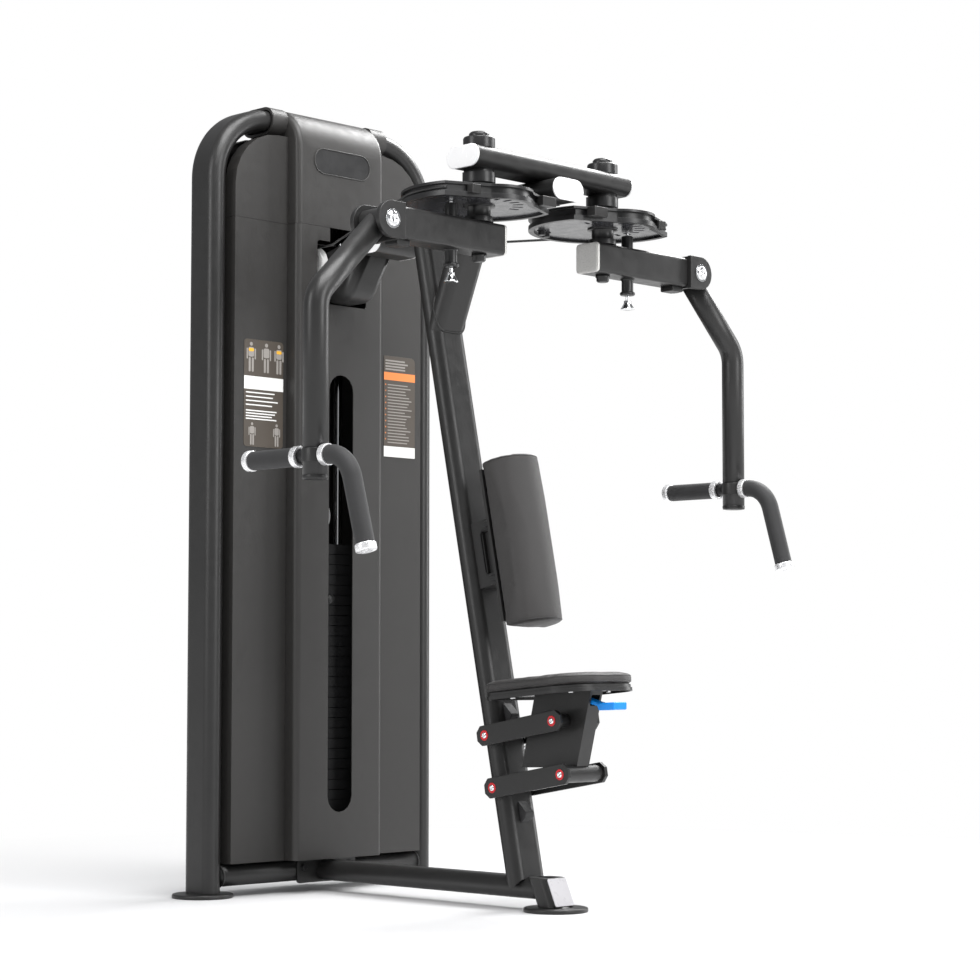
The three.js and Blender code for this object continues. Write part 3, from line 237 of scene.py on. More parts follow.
VINYL = vinyl("charcoal_vinyl", (0.033, 0.031, 0.0305))
PIPING = vinyl("vinyl_piping", (0.02, 0.019, 0.019))
BADGE = coated("badge_grey", (0.016, 0.016, 0.0165), 0.34)
PLACARD = coated("placard_brown_grey", (0.075, 0.062, 0.05), 0.4, spread=0.2)
INK_WHITE = coated("placard_white", (0.82, 0.82, 0.8), 0.45, spread=0.03)
INK_GREY = coated("placard_grey", (0.30, 0.28, 0.26), 0.45, spread=0.05)
INK_ORANGE = coated("placard_orange", (0.85, 0.25, 0.06), 0.45, spread=0.05)
INK_YELLOW = coated("placard_yellow", (0.85, 0.45, 0.04), 0.45, spread=0.05)

# The record's slot that a material usually belongs to.
USUAL_SLOT = {BLACK_COAT: "powder_coat", CAM_COAT_PAINTED_SHEEN: "powder_coat", GREY_COAT: "cladding",
              HOUSING_COAT: "dark_steel", CHROME: "chrome", BOLT_STEEL: "chrome", NYLON: "nylon",
              BLUE: "blue", WHITE_CAP: "white_cap", PALE_CAP: "pale_cap", SATIN_STEEL: "pale_cap",
              BLACK_PLASTIC: "grip", CABLE_SHEATH: "cable", VINYL: "upholstery", PIPING: "upholstery",
              BADGE: "badge", PLACARD: "badge", INK_WHITE: "badge", INK_GREY: "badge", INK_ORANGE: "badge",
              INK_YELLOW: "badge"}

# ---- outlines: lists of 2-D points ----


def arc(centre, radius, start, end, count):
    """Points on an arc between two angles in degrees, both ends included."""
    angles = [math.radians(start + (end - start) * i / count) for i in range(count + 1)]
    return [(centre[0] + radius * math.cos(a), centre[1] + radius * math.sin(a)) for a in angles]


def circle(radius, count=48):
    return arc((0, 0), radius, 0, 360, count)[:-1]


def oval(wide, thin, count=16):
    """Flat oval: two straight sides and two half-round ends, long side along the first axis."""
    reach = (wide - thin) / 2
    return arc((reach, 0), thin / 2, -90, 90, count) + arc((-reach, 0), thin / 2, 90, 270, count)


def rounded(corners, count=8):
    """Outline with rounded corners; corners is a list of (x, y, radius)."""
    points = []
    for i, (x, y, radius) in enumerate(corners):
        corner = Vector((x, y))
        if not radius:
            points.append((x, y))
            continue
        before = (Vector(corners[i - 1][:2]) - corner).normalized()
        after = (Vector(corners[(i + 1) % len(corners)][:2]) - corner).normalized()
        half = before.angle(after) / 2
        centre = corner + (before + after).normalized() * (radius / math.sin(half))
        start = corner + before * (radius / math.tan(half)) - centre
        turn = math.pi - 2 * half
        sign = 1 if after.cross(before) > 0 else -1
        for k in range(count + 1):
            spoke = start.copy()
            spoke.rotate(Matrix.Rotation(sign * turn * k / count, 2))
            points.append(tuple(centre + spoke))
    return points


def bar(left, right, bottom, top):
    return [(left, bottom), (right, bottom), (right, top), (left, top)]


def rectangle(width, height, radius, count=8, centre=(0, 0)):
    x, y = centre
    corners = bar(x - width / 2, x + width / 2, y - height / 2, y + height / 2)
    return rounded([(*corner, radius) for corner in corners], count)


def moved(outline, dx, dy):
    return [(x + dx, y + dy) for x, y in outline]


def lifted(base, *profile):
    """Profile points whose heights are given from a base height."""
    return [(radius, base + height) for radius, height in profile]


# ---- shapes: (vertices, faces) pairs in millimetres ----

# An outline is drawn in PLAN as x, y with its thickness along +Z, in SIDE as y, z with its thickness along
# +X, and in FRONT as x, z with its thickness along -Y.
PLAN = Matrix.Identity(4)
SIDE = Matrix(((0, 0, 1, 0), (1, 0, 0, 0), (0, 1, 0, 0), (0, 0, 0, 1)))
FRONT = Matrix(((1, 0, 0, 0), (0, 0, -1, 0), (0, 1, 0, 0), (0, 0, 0, 1)))


def wall(near, far):
    """Quads between two rings of as many vertices."""
    return list(zip(near, near[1:] + near[:1], far[1:] + far[:1], far))


def slab(outline, start, end, view=PLAN, holes=()):
    """Flat plate with holes, stretched between two depths along the view's third axis."""
    loops = [list(outline)] + [list(hole) for hole in holes]
    flat = [point for loop in loops for point in loop]
    count = len(flat)
    vertices = [view @ Vector((x, y, depth)) for depth in (start, end) for x, y in flat]
    if holes:
        fill = tessellate_polygon([[Vector((x, y, 0)) for x, y in loop] for loop in loops])
    else:
        fill = [tuple(range(count))]
    faces = [tuple(face) for face in fill] + [tuple(i + count for i in reversed(face)) for face in fill]
    base = 0
    for loop in loops:
        ring = list(range(base, base + len(loop)))
        faces += wall(ring, [i + count for i in ring])
        base += len(loop)
    return vertices, faces


def block(corner, opposite):
    return slab(bar(corner[0], opposite[0], corner[1], opposite[1]), corner[2], opposite[2])


def turned(profile, origin, axis=Z_AXIS, count=48):
    """Turned piece; profile is a list of (radius, height) that starts and ends on the axis, or closes."""
    turn = Z_AXIS.rotation_difference(Vector(axis)).to_matrix()
    vertices = []
    rings = []
    for radius, height in profile:
        spokes = circle(radius, count) if radius else [(0, 0)]
        rings.append(list(range(len(vertices), len(vertices) + len(spokes))))
        vertices += [Vector(origin) + turn @ Vector((x, y, height)) for x, y in spokes]
    if len(rings[0]) > 1:
        rings.append(rings[0])
    full = [ring * (count // len(ring)) for ring in rings]
    faces = [tuple(dict.fromkeys(face)) for near, far in zip(full, full[1:]) for face in wall(near, far)]
    return vertices, [face for face in faces if len(face) > 2]


def washer(inner, outer, start, end, chamfer=0.8, count=48):
    """Ring between two points, with chamfered outer edges."""
    run = Vector(end) - Vector(start)
    length = run.length
    profile = [(inner, 0), (outer - chamfer, 0), (outer, chamfer), (outer, length - chamfer),
               (outer - chamfer, length), (inner, length)]
    return turned(profile, start, run.normalized(), count)


def rod(radius, start, end, chamfer=1.0, count=48):
    """Round rod between two points with chamfered ends."""
    return washer(0, radius, start, end, chamfer, count)


def bent_path(corners, radius=0.0, count=12):
    """(point, tangent) pairs along a polyline whose inner corners are rounded."""
    knots = [Vector(corner) for corner in corners]
    runs = [(b - a).normalized() for a, b in zip(knots, knots[1:])]
    path = [(knots[0], runs[0])]
    for knot, arriving, leaving in zip(knots[1:], runs, runs[1:]):
        turn = arriving.angle(leaving)
        inward = (leaving - arriving * leaving.dot(arriving)).normalized()
        start = knot - arriving * radius * math.tan(turn / 2)
        for k in range(count + 1):
            angle = turn * k / count
            point = start + arriving * radius * math.sin(angle) + inward * radius * (1 - math.cos(angle))
            path.append((point, arriving * math.cos(angle) + inward * math.sin(angle)))
    path.append((knots[-1], runs[-1]))
    return path


def cross_section(outline, point, tangent, across, normal=None):
    """Outline square to the tangent, or slid along it onto the plane with the given normal."""
    up = tangent.cross(across)
    ring = [point + across * u + up * v for u, v in outline]
    if normal is None:
        return ring
    return [p - tangent * ((p - point).dot(normal) / tangent.dot(normal)) for p in ring]


def sweep(outline, path, across, end_normals=(None, None)):
    """Solid with one cross-section along a path that stays square to the across axis.

    An end normal is that of a slanting plane, through the path's end, that cuts the solid off.
    """
    normals = [end_normals[0]] + [None] * (len(path) - 2) + [end_normals[1]]
    vertices = []
    rings = []
    for (point, tangent), normal in zip(path, normals):
        rings.append(list(range(len(vertices), len(vertices) + len(outline))))
        vertices += cross_section(outline, point, tangent, across, normal)
    faces = [tuple(rings[0]), tuple(reversed(rings[-1]))]
    for near, far in zip(rings, rings[1:]):
        faces += wall(near, far)
    return vertices, faces


def tube_loop(points, radius, count=10):
    """Closed bead of round section through a closed loop of points."""
    vertices = []
    rings = []
    size = len(points)
    for i, point in enumerate(points):
        tangent = (points[(i + 1) % size] - points[i - 1]).normalized()
        if i == 0:
            first = tangent.orthogonal().normalized()
        else:
            first = (first - tangent * first.dot(tangent)).normalized()
        second = tangent.cross(first)
        rings.append(list(range(len(vertices), len(vertices) + count)))
        vertices += [point + first * x + second * y for x, y in circle(radius, count)]
    faces = [face for near, far in zip(rings, rings[1:] + rings[:1]) for face in wall(near, far)]
    return vertices, faces


def placed(shapes, matrix):
    return [([matrix @ v for v in vertices], faces) for vertices, faces in shapes]


# ---- pieces ----


def add_object(name, data):
    thing = bpy.data.objects.new(name, data)
    bpy.context.scene.collection.objects.link(thing)
    return thing


def build_mesh(name, shapes):
    graph = bmesh.new()
    for vertices, faces in shapes:
        made = [graph.verts.new(Vector(v) * MM) for v in vertices]
        for face in faces:
            graph.faces.new([made[i] for i in face])
    bmesh.ops.recalc_face_normals(graph, faces=graph.faces)
    mesh = bpy.data.meshes.new(name)
    graph.to_mesh(mesh)
    graph.free()
    return mesh


def round_edges(thing, width):
    """Bevels edges sharper than 38 degrees, and shades the faces as flat between them."""
    if width:
        bevel = thing.modifiers.new("edges", "BEVEL")
        bevel.width = width * MM
        bevel.segments = 2
        bevel.limit_method = "ANGLE"
        bevel.angle_limit = math.radians(38)
    weighted = thing.modifiers.new("normals", "WEIGHTED_NORMAL")
    weighted.keep_sharp = False


def finish_mesh(mesh, material):
    mesh.materials.clear()
    mesh.materials.append(material)
    mesh.polygons.foreach_set("use_smooth", [True] * len(mesh.polygons))


def piece(name, body, material, shapes, edge=0.8, stands_for=None, slot=None):
    """Adds one named object made of one or more closed shapes, riding on a body; stands_for is a CAD node."""
    mesh = build_mesh(name, shapes)
    thing = add_object(name, mesh)
    finish_mesh(mesh, material)
    round_edges(thing, edge)
    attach(thing, body)
    slot = slot or USUAL_SLOT.get(material)
    if stands_for:
        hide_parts(stands_for)


def frame_piece(name, shapes, edge=0.8, stands_for=None):
    """Powder-coated piece of the fixed frame."""
    piece(name, "frame", BLACK_COAT, shapes, edge, stands_for)


def smooth_group():
    """Geometry nodes that weld a faceted CAD mesh and shade it smooth across shallow edges."""
    group = bpy.data.node_groups.new("weld_and_smooth", "GeometryNodeTree")
    for way in ("INPUT", "OUTPUT"):
        group.interface.new_socket("Geometry", in_out=way, socket_type="NodeSocketGeometry")
    source = add_node(group, "NodeGroupInput")
    inputs = {"Geometry": source.outputs[0], "Distance": 0.00002}
    weld = add_node(group, "GeometryNodeMergeByDistance", inputs)
    inputs = {"Geometry": weld.outputs[0], "Shade Smooth": True}
    faces = add_node(group, "GeometryNodeSetShadeSmooth", inputs, domain="FACE")
    angle = add_node(group, "GeometryNodeInputMeshEdgeAngle").outputs["Unsigned Angle"]
    inputs = {"A": angle, "B": math.radians(35)}
    shallow = add_node(group, "FunctionNodeCompare", inputs, operation="LESS_THAN")
    inputs = {"Geometry": faces.outputs[0], "Shade Smooth": shallow.outputs[0]}
    edges = add_node(group, "GeometryNodeSetShadeSmooth", inputs, domain="EDGE")
    add_node(group, "NodeGroupOutput", {0: edges.outputs[0]})
    return group


SMOOTH = smooth_group()


def dress(material, *nodes):
    """Gives kept CAD nodes their material, and shades their curved faces smooth."""
    for node in nodes:
        thing = frame["nodes"][node]
        thing.data.materials.clear()
        thing.data.materials.append(material)
        thing.modifiers.new("smooth", "NODES").node_group = SMOOTH
        weighted = thing.modifiers.new("normals", "WEIGHTED_NORMAL")
        weighted.keep_sharp = True


def bolt_head(centre, axis, radius=8.0, height=5.0):
    """Domed cap screw with a round socket; centre lies on the surface that it clamps."""
    socket = radius * 0.45
    dome = [(0, 0), (radius, 0), (radius, height * 0.35), (radius * 0.86, height * 0.8),
            (radius * 0.6, height), (socket, height)]
    return [turned(dome + [(socket, height * 0.4), (0, height * 0.4)], centre, axis, 36)]


def hex_head(centre, axis, radius=9.0, height=6.0):
    """Hexagon bolt head on its washer."""
    axis = Vector(axis).normalized()
    centre = Vector(centre)
    disc = rod(radius * 1.25, centre, centre + axis * 1.6, 0.3, 32)
    head = turned([(0, 0), (radius, 0), (radius, height - 1), (radius * 0.87, height), (0, height)],
                  centre + axis * 1.6, axis, 6)
    return [disc, head]


# ---- tower ----

TOWER_Y = middle("tower_frame").y
TUBE_WIDE = high("boom").x - low("boom").x
TUBE_THIN = high("boom").z - low("boom").z
TUBE = oval(TUBE_WIDE, TUBE_THIN)
ARCH_BEND_R = 160
COLLAR_LENGTH = 47
WELD_BEAD_R = 2.6
STACK_PITCH = 25.4            # one-inch weight plates


def weld(name, outline, point, tangent, across, normal):
    """Weld bead where a tube's end meets the plane through point with the given normal."""
    ring = cross_section(outline, Vector(point), tangent, across, normal)
    frame_piece(name, [tube_loop(ring, WELD_BEAD_R)], 0)


def add_tower():
    bottom = low("tower_frame")
    top = high("tower_frame")
    x = top.x - TUBE_THIN / 2
    z = top.z - TUBE_THIN / 2
    knots = [(-x, TOWER_Y, bottom.z), (-x, TOWER_Y, z), (x, TOWER_Y, z), (x, TOWER_Y, bottom.z)]
    arch = sweep(TUBE, bent_path(knots, ARCH_BEND_R, 24), Y_AXIS)
    frame_piece("tower_arch", [arch], 0.8, "tower_frame")

    floor_z = middle("base_crossmember").z
    reach = high("base_crossmember").x
    path = bent_path([(-reach, TOWER_Y, floor_z), (reach, TOWER_Y, floor_z)])
    frame_piece("tower_crossmember", [sweep(TUBE, path, Y_AXIS)], 0, "base_crossmember")
    for side, sign in SIDES:
        weld(f"crossmember_weld_{side}", TUBE, (sign * reach, TOWER_Y, floor_z), X_AXIS, Y_AXIS, X_AXIS)
        add_foot(f"tower_foot_{side}")
    add_foot("front_foot")


def add_foot(node):
    """Disc foot with a rolled rim and a welded boss."""
    centre = middle(node)
    boss_top = high(node).z
    radius = high(node).x - centre.x
    profile = [(0, 0), (radius - 2.5, 0), (radius - 0.6, 0.6), (radius, 2.4), (radius, 6.5),
               (radius - 1, 9), (radius - 3.5, 10), (34, 10), (32, 10.8), (31, 12), (20, 12),
               (20, boss_top), (0, boss_top)]
    shape = turned(profile, (centre.x, centre.y, 0), Z_AXIS, 96)
    frame_piece(f"{node}_disc", [shape], 0, node)


def add_cladding():
    dress(GREY_COAT, "side_panel_left", "side_panel_right", "center_panel", "top_hood", "rear_cover")
    cover = high("rear_cover")
    base = low("rear_cover").z
    wing_y = TOWER_Y - (low("side_panel_left").y - TOWER_Y)
    screws = []
    for x in (-288, -165, 165, 288):
        for share in (0.03, 0.35, 0.66, 0.97):
            z = base + share * (cover.z - base)
            screws += bolt_head((x, wing_y, z), Y_AXIS, 6, 3)
    piece("rear_cover_screws", "frame", BOLT_STEEL, screws, 0)
    arch_z = high("tower_frame").z - TUBE_THIN / 2
    hollow = moved(oval(TUBE_WIDE + 7, TUBE_THIN + 7), TOWER_Y, arch_z)
    sleeve = moved(oval(TUBE_WIDE + 20, TUBE_THIN + 20, 24), TOWER_Y, arch_z)
    raised_x = high("center_panel").x
    for side, sign in SIDES:
        ends = sorted((sign * (raised_x - 2), sign * (raised_x + COLLAR_LENGTH)))
        collar = slab(sleeve, *ends, SIDE, [hollow])
        piece(f"hood_collar_{side}", "frame", GREY_COAT, [collar], 1.6)


def add_badge():
    """Blank recessed name plate of the hood with a fine raised rim."""
    size = high("badge_plate") - low("badge_plate")
    centre = middle("badge_plate")
    front = low("top_hood").y
    face = slab(moved(oval(size.x + 1, size.z + 1, 24), 0, centre.z), -front - 3, 0.4 - front, FRONT)
    piece("badge_face", "frame", BADGE, [face], 0.3, "badge_plate")
    rim = [Vector((x, front - 0.4, centre.z + z)) for x, z in oval(size.x + 4, size.z + 4, 24)]
    piece("badge_rim", "frame", GREY_COAT, [tube_loop(rim, 1.5)], 0)


def add_stack():
    # The plates' near-black colour holds painted shade for the shadow inside the slot.
    dress(STACK_IRON_AND_SLOT_SHADE, "resting_plates", "lifted_plates")
    dress(CHROME, "guide_rod_left", "guide_rod_right", "selector_rod")
    dress(CABLE_SHEATH, "arm_cable_left", "arm_cable_right", "stack_cable")
    dress(BLACK_COAT, "pulley_bracket")
    for node, body in (("resting_plates", "frame"), ("lifted_plates", "lifted_stack")):
        front = low(node).y
        count = round((high(node).z - low(node).z) / STACK_PITCH)
        rings = []
        for i in range(count):
            z = low(node).z + (i + 0.5) * STACK_PITCH
            rings.append(washer(5.6, 9, (0, front + 0.2, z), (0, front - 0.8, z), 0.3, 24))
        piece(f"{node}_pin_holes", body, BOLT_STEEL, rings, 0)
    pin = low("selector_pin")
    z = middle("selector_pin").z
    shank = rod(5, (0, high("selector_pin").y, z), (0, pin.y + 8, z), 1, 24)
    piece("selector_pin_shank", "selector_pin", BOLT_STEEL, [shank], 0, "selector_pin")
    knob = [(0, 0), (8, 0.5), (11.4, 3), (12, 7), (10.5, 14), (9, 19), (10, 23), (10, 24.5), (0, 24.5)]
    knob_shape = turned(knob, (0, pin.y, z), Y_AXIS, 40)
    piece("selector_pin_knob", "selector_pin", BLACK_PLASTIC, [knob_shape], 0, slot="blue")


def add_pulley(node, body, groove_r, bore, width):
    """Grooved wheel on an X or Y axle, with a bearing ring in its hub."""
    centre = middle(node)
    size = high(node) - low(node)
    axis = X_AXIS if size.x < size.y else Y_AXIS
    half = width / 2
    rim = size.z / 2
    upper = [(groove_r, 2), (groove_r + 1.5, 3.2), (rim, half - 1.8), (rim, half), (rim - 9, half),
             (rim - 12, half - 1), (bore + 9, half - 1), (bore + 6, half)]
    profile = [(radius, -height) for radius, height in reversed(upper)] + upper
    piece(f"{node}_wheel", body, NYLON, [turned(profile, centre, axis, 64)], 0, node)
    bearing = washer(bore, bore + 6.2, centre - axis * (half - 0.6), centre + axis * (half - 0.6), 0.4, 40)
    piece(f"{node}_bearing", body, BOLT_STEEL, [bearing], 0)


def add_pulleys():
    for side, _ in SIDES:
        add_pulley(f"tower_pulley_{side}", f"{side}_tower_pulley", 39.7, 8.3, 20)
    add_pulley("stack_pulley", "stack_pulley", 41.7, 6.3, 16)


# ---- placards: a plate with plain marks, and no lettering ----


PLACARD_THICK = 0.9


def figure(centre_x, feet_z, height):
    """Outlines of a plain standing figure: head, trunk, arms and legs."""
    unit = height / 100
    def at(outline, dx, dz):
        return [(centre_x + (x + dx) * unit, feet_z + (z + dz) * unit) for x, z in outline]
    parts = [at(circle(6.5, 16), 0, 92), at(rectangle(24, 32, 6, 3), 0, 66)]
    for sign in (-1, 1):
        parts.append(at(rectangle(5.5, 36, 2.7, 3), sign * 17, 60))
        parts.append(at(rectangle(8.5, 47, 3.5, 3), sign * 6.5, 24))
    return parts


def marks(name, material, outlines, front):
    shapes = [slab(outline, -front, 0.25 - front, FRONT) for outline in outlines]
    piece(name, "frame", material, shapes, 0)


def text_lines(left, width, top, bottom, count, thick, indent=0.0):
    """Plain bars of varied length that stand for lines of print."""
    rows = []
    for i in range(count):
        z = top - (top - bottom) * i / max(1, count - 1)
        length = width * random.uniform(0.72, 1.0) - indent
        start = left + indent
        rows.append(bar(start, start + length, z - thick / 2, z + thick / 2))
    return rows


def plate(name, sides, radii, front):
    corners = [(*corner, radius) for corner, radius in zip(bar(*sides), radii)]
    shape = slab(rounded(corners), PLACARD_THICK - front, -front - 0.05, FRONT)
    piece(name, "frame", PLACARD, [shape], 0.3)


def add_muscle_placard():
    """Standing figures in two rows, with a title bar and print between them."""
    front = low("side_panel_left").y
    face = front - PLACARD_THICK
    left, right = -281, -157
    plate("muscle_placard", (left, right, 1080, 1342), (9, 9, 9, 9), front)
    upper = [outline for x in (-259, -211, -171) for outline in figure(x, 1262, 74)]
    lower = [outline for x in (-255, -177) for outline in figure(x, 1084, 56)]
    marks("muscle_placard_figures", INK_GREY, upper + lower, face)
    chests = [rectangle(16, 8, 3, 3, (x, 1316)) for x in (-259, -171)]
    marks("muscle_placard_chests", INK_YELLOW, chests, face - 0.3)
    marks("muscle_placard_title", INK_WHITE, [bar(left, right, 1220, 1252)], face)
    lines = text_lines(left + 6, right - left - 12, 1212, 1182, 4, 3)
    lines += text_lines(left + 6, right - left - 12, 1168, 1148, 4, 3)
    marks("muscle_placard_lines", INK_WHITE, lines, face)


def add_use_placard():
    """A list of dotted lines under an orange bar."""
    front = low("side_panel_right").y
    face = front - PLACARD_THICK
    left, right, bottom, top = 181, 290, 1082, 1342
    plate("use_placard", (left, right, bottom, top), (3, 3, 14, 3), front)
    marks("use_placard_bar", INK_ORANGE, [bar(left, right, 1280, 1300)], face)
    marks("use_placard_foot", INK_WHITE, [bar(left, right, bottom + 1, 1110)], face)
    lines = text_lines(left + 5, right - left - 16, 1330, 1308, 4, 4)
    lines += text_lines(left + 5, right - left - 16, 1268, 1120, 20, 2.6, 8)
    marks("use_placard_lines", INK_GREY, lines, face)
    dots = [moved(circle(1.8, 10), left + 6, 1268 - i * 15.5) for i in range(10)]
    marks("use_placard_dots", INK_ORANGE, dots, face)


# ---- front frame ----

NOSE_SLOPE = math.radians(24)
NOSE_WIDE = 76
NOSE_DEPTH = 50
NOSE_CORNER_R = 16
BEAM_WIDE = 70
POST_LEAN = math.atan(0.2083)
BRACE_LEAN = math.atan(0.408)
BRACE_FOOT_Z = 1345
STOP_HEIGHTS = (437, 215)
NECK_BEND = 158               # from the tower's middle forward to the neck's bend
NECK_REACH = 232              # and to its upper end
NECK_TOP_Z = 1590
NECK_BEND_R = 30
STRADDLE_SLOPE = 0.93         # rise per run of the point that the post ends in, beside the base beam


def post_line():
    """Bottom and top of the main post's centreline."""
    half = TUBE_THIN / 2 / math.cos(POST_LEAN)
    bottom = low("main_post")
    top = high("main_post")
    head = Vector((0, top.y - half, top.z))
    return head - Vector((0, math.tan(POST_LEAN), 1)) * (top.z - bottom.z), head


def add_base_beam():
    beam = low("base_beam")
    top = high("base_beam")
    z = top.z - TUBE_THIN / 2
    slope = math.tan(NOSE_SLOPE)
    depth = NOSE_DEPTH / math.cos(NOSE_SLOPE)
    foot = Vector((0, beam.y + depth / 2, beam.z))
    head = foot + Vector((0, slope, 1)) * (top.z - beam.z)
    tube = sweep(oval(BEAM_WIDE, TUBE_THIN), bent_path([(0, top.y, z), (0, foot.y, z)]), X_AXIS)
    frame_piece("floor_beam", [tube], 0.8, "base_beam")
    section = rectangle(NOSE_WIDE, NOSE_DEPTH, NOSE_CORNER_R, 10)
    stub = sweep(section, bent_path([foot, head]), X_AXIS, (Z_AXIS, Z_AXIS))
    frame_piece("floor_beam_stub", [stub], 1.2)
    normal = Vector((0, -math.cos(NOSE_SLOPE), math.sin(NOSE_SLOPE)))
    up = Vector((0, math.sin(NOSE_SLOPE), math.cos(NOSE_SLOPE)))
    panel_high = (top.z - beam.z) / math.cos(NOSE_SLOPE) - 5
    centre = (foot + head) / 2 - Y_AXIS * depth / 2
    place = Matrix.Translation(centre) @ Matrix((X_AXIS, up, normal)).transposed().to_4x4()
    rim = slab(rectangle(NOSE_WIDE - 12, panel_high + 3, 5), -4, 2.4, place)
    panel = slab(rectangle(NOSE_WIDE - 15, panel_high, 4), 2, 4, place)
    piece("floor_beam_cap_rim", "frame", BLACK_PLASTIC, [rim], 0.8, slot="powder_coat")
    piece("floor_beam_cap", "frame", PALE_CAP, [panel], 0.7, "base_beam_cap")
    flange_y = TOWER_Y - TUBE_WIDE / 2
    plate = slab(rectangle(190, 58, 8, centre=(0, z)), -flange_y, 6 - flange_y, FRONT)
    frame_piece("beam_flange", [plate], 1)
    bolts = []
    for sign in (-1, 1):
        bolts += hex_head((sign * 76, flange_y - 6, z + 10), -Y_AXIS)
    piece("beam_flange_bolts", "frame", HOUSING_COAT, bolts, 0.5)


def add_main_post():
    bottom, top = post_line()
    run = (top - bottom).normalized()
    vertices, faces = sweep(TUBE, bent_path([bottom, top]), X_AXIS, (Z_AXIS, Z_AXIS))
    for i in range(len(TUBE)):
        rise = abs(vertices[i].y - bottom.y) * STRADDLE_SLOPE
        vertices[i] = vertices[i] + run * (rise / run.z)
    frame_piece("leaning_post", [(vertices, faces)], 0.8, "main_post")
    weld("post_top_weld", TUBE, top, run, X_AXIS, Z_AXIS)


def add_brace():
    """Brace that rises from the front face of the main post to the boom."""
    bottom, top = post_line()
    facing = X_AXIS.cross((top - bottom).normalized())
    foot = bottom + (top - bottom) * ((BRACE_FOOT_Z - bottom.z) / (top.z - bottom.z))
    half = TUBE_THIN / 2 / math.cos(BRACE_LEAN)
    head = Vector((0, low("post_brace").y + half, high("post_brace").z))
    tube = sweep(TUBE, bent_path([foot, head]), X_AXIS, (facing, Z_AXIS))
    frame_piece("boom_brace", [tube], 0.8, "post_brace")
    run = (head - foot).normalized()
    weld("brace_top_weld", TUBE, head, run, X_AXIS, Z_AXIS)
    surface = foot + run * (TUBE_THIN / 2 / run.dot(facing))
    weld("brace_foot_weld", TUBE, surface, run, X_AXIS, facing)


def post_front(z):
    """Y of the main post's front face at a height."""
    bottom = post_line()[0]
    return bottom.y + (z - bottom.z) * math.tan(POST_LEAN) - TUBE_THIN / 2 / math.cos(POST_LEAN)


def add_post_stops():
    """Two wedge stops on the post's front face that limit the seat linkage."""
    stops = []
    for z in STOP_HEIGHTS:
        nose = post_front(z)
        outline = [(post_front(z + 30) + 2, z + 30), (nose - 20, z + 4), (nose - 18, z - 8),
                   (post_front(z - 22) + 2, z - 22)]
        stops.append(slab(outline, -14, 14, SIDE))
    piece("post_stops", "frame", GRIP_RUBBER, stops, 2)


def end_plate(name, view, outline, start, end, stands_for=None):
    """White cap that closes a tube's end."""
    piece(name, "frame", WHITE_CAP, [slab(outline, start, end, view)], 1.4, stands_for)


def add_boom():
    z = middle("boom").z
    rear = high("boom").y
    front = low("boom").y
    tube = sweep(TUBE, bent_path([(0, rear, z), (0, front, z)]), X_AXIS)
    frame_piece("boom_tube", [tube], 0.8, "boom")
    outline = moved(oval(TUBE_WIDE + 1, TUBE_THIN + 1), 0, z)
    end_plate("boom_front_cap", FRONT, outline, -front, -low("boom_cap").y, "boom_cap")
    bolts = hex_head((0, front + 34, z - TUBE_THIN / 2), -Z_AXIS, 8, 6)
    piece("boom_stop_bolt", "frame", HOUSING_COAT, bolts, 0.5)


def add_neck():
    """Bent tube that carries the boom's rear end from the tower."""
    z = low("boom_neck").z + TUBE_THIN / 2
    knots = [(0, high("boom_neck").y, z), (0, TOWER_Y - NECK_BEND, z), (0, TOWER_Y - NECK_REACH, NECK_TOP_Z)]
    frame_piece("neck_tube", [sweep(TUBE, bent_path(knots, NECK_BEND_R), X_AXIS)], 0, "boom_neck")


def add_rear_cross_tube():
    centre = middle("rear_cross_tube")
    size = high("rear_cross_tube") - low("rear_cross_tube")
    outline = moved(oval(size.y, size.z), centre.y, centre.z)
    reach = size.x / 2
    frame_piece("short_cross_tube", [slab(outline, -reach, reach, SIDE)], 0.8, "rear_cross_tube")
    for side, sign in SIDES:
        outer = sorted((sign * reach, sign * (reach + 3.5)))
        end_plate(f"short_cross_tube_cap_{side}", SIDE, outline, *outer)


def add_crossbar():
    bar_middle = middle("crossbar")
    reach = high("crossbar").x
    path = bent_path([(-reach, bar_middle.y, bar_middle.z), (reach, bar_middle.y, bar_middle.z)])
    tube = sweep(TUBE, path, Y_AXIS)
    frame_piece("cam_crossbar", [tube], 0.8, "crossbar")
    outline = moved(oval(TUBE_WIDE + 1, TUBE_THIN + 1), bar_middle.y, bar_middle.z)
    for side, sign in SIDES:
        node = f"crossbar_cap_{side}"
        outer = sorted((sign * reach, sign * (reach + 4.5)))
        end_plate(f"crossbar_end_{side}", SIDE, outline, *outer, stands_for=node)
        add_housing(side, bar_middle.z)


def add_housing(side, bar_z):
    """Bearing housing of an arm shaft: sleeve, stepped collars round the crossbar, and cam stop."""
    node = f"shaft_housing_{side}"
    shaft = pivot(f"{side}_cam_swing")
    base = low(node).z
    top = high(node).z
    bar_top = bar_z + TUBE_THIN / 2
    bar_bottom = bar_z - TUBE_THIN / 2
    bore = 15.6
    profile = lifted(base, (bore, 0), (26.5, 0), (28, 1.5))
    profile += lifted(bar_bottom, (28, -31), (36, -31), (37, -30), (37, -8), (34.5, -6), (34.5, 2), (30, 2))
    profile += lifted(bar_top, (30, -2), (35, -2), (36, 0))
    profile += lifted(top, (36, -3), (34, 0), (bore, 0))
    shape = turned(profile, (shaft.x, shaft.y, 0), Z_AXIS, 64)
    stop = block((shaft.x - 10, shaft.y + 20, base + 4), (shaft.x + 10, shaft.y + 44, bar_bottom + 1))
    piece(f"bearing_housing_{side}", "frame", HOUSING_COAT, [shape], 0, node)
    piece(f"cam_stop_{side}", "frame", HOUSING_COAT, [stop], 1.5)


# ---- cams, arms and handles: drawn about the left arm shaft, mirrored for the right side ----

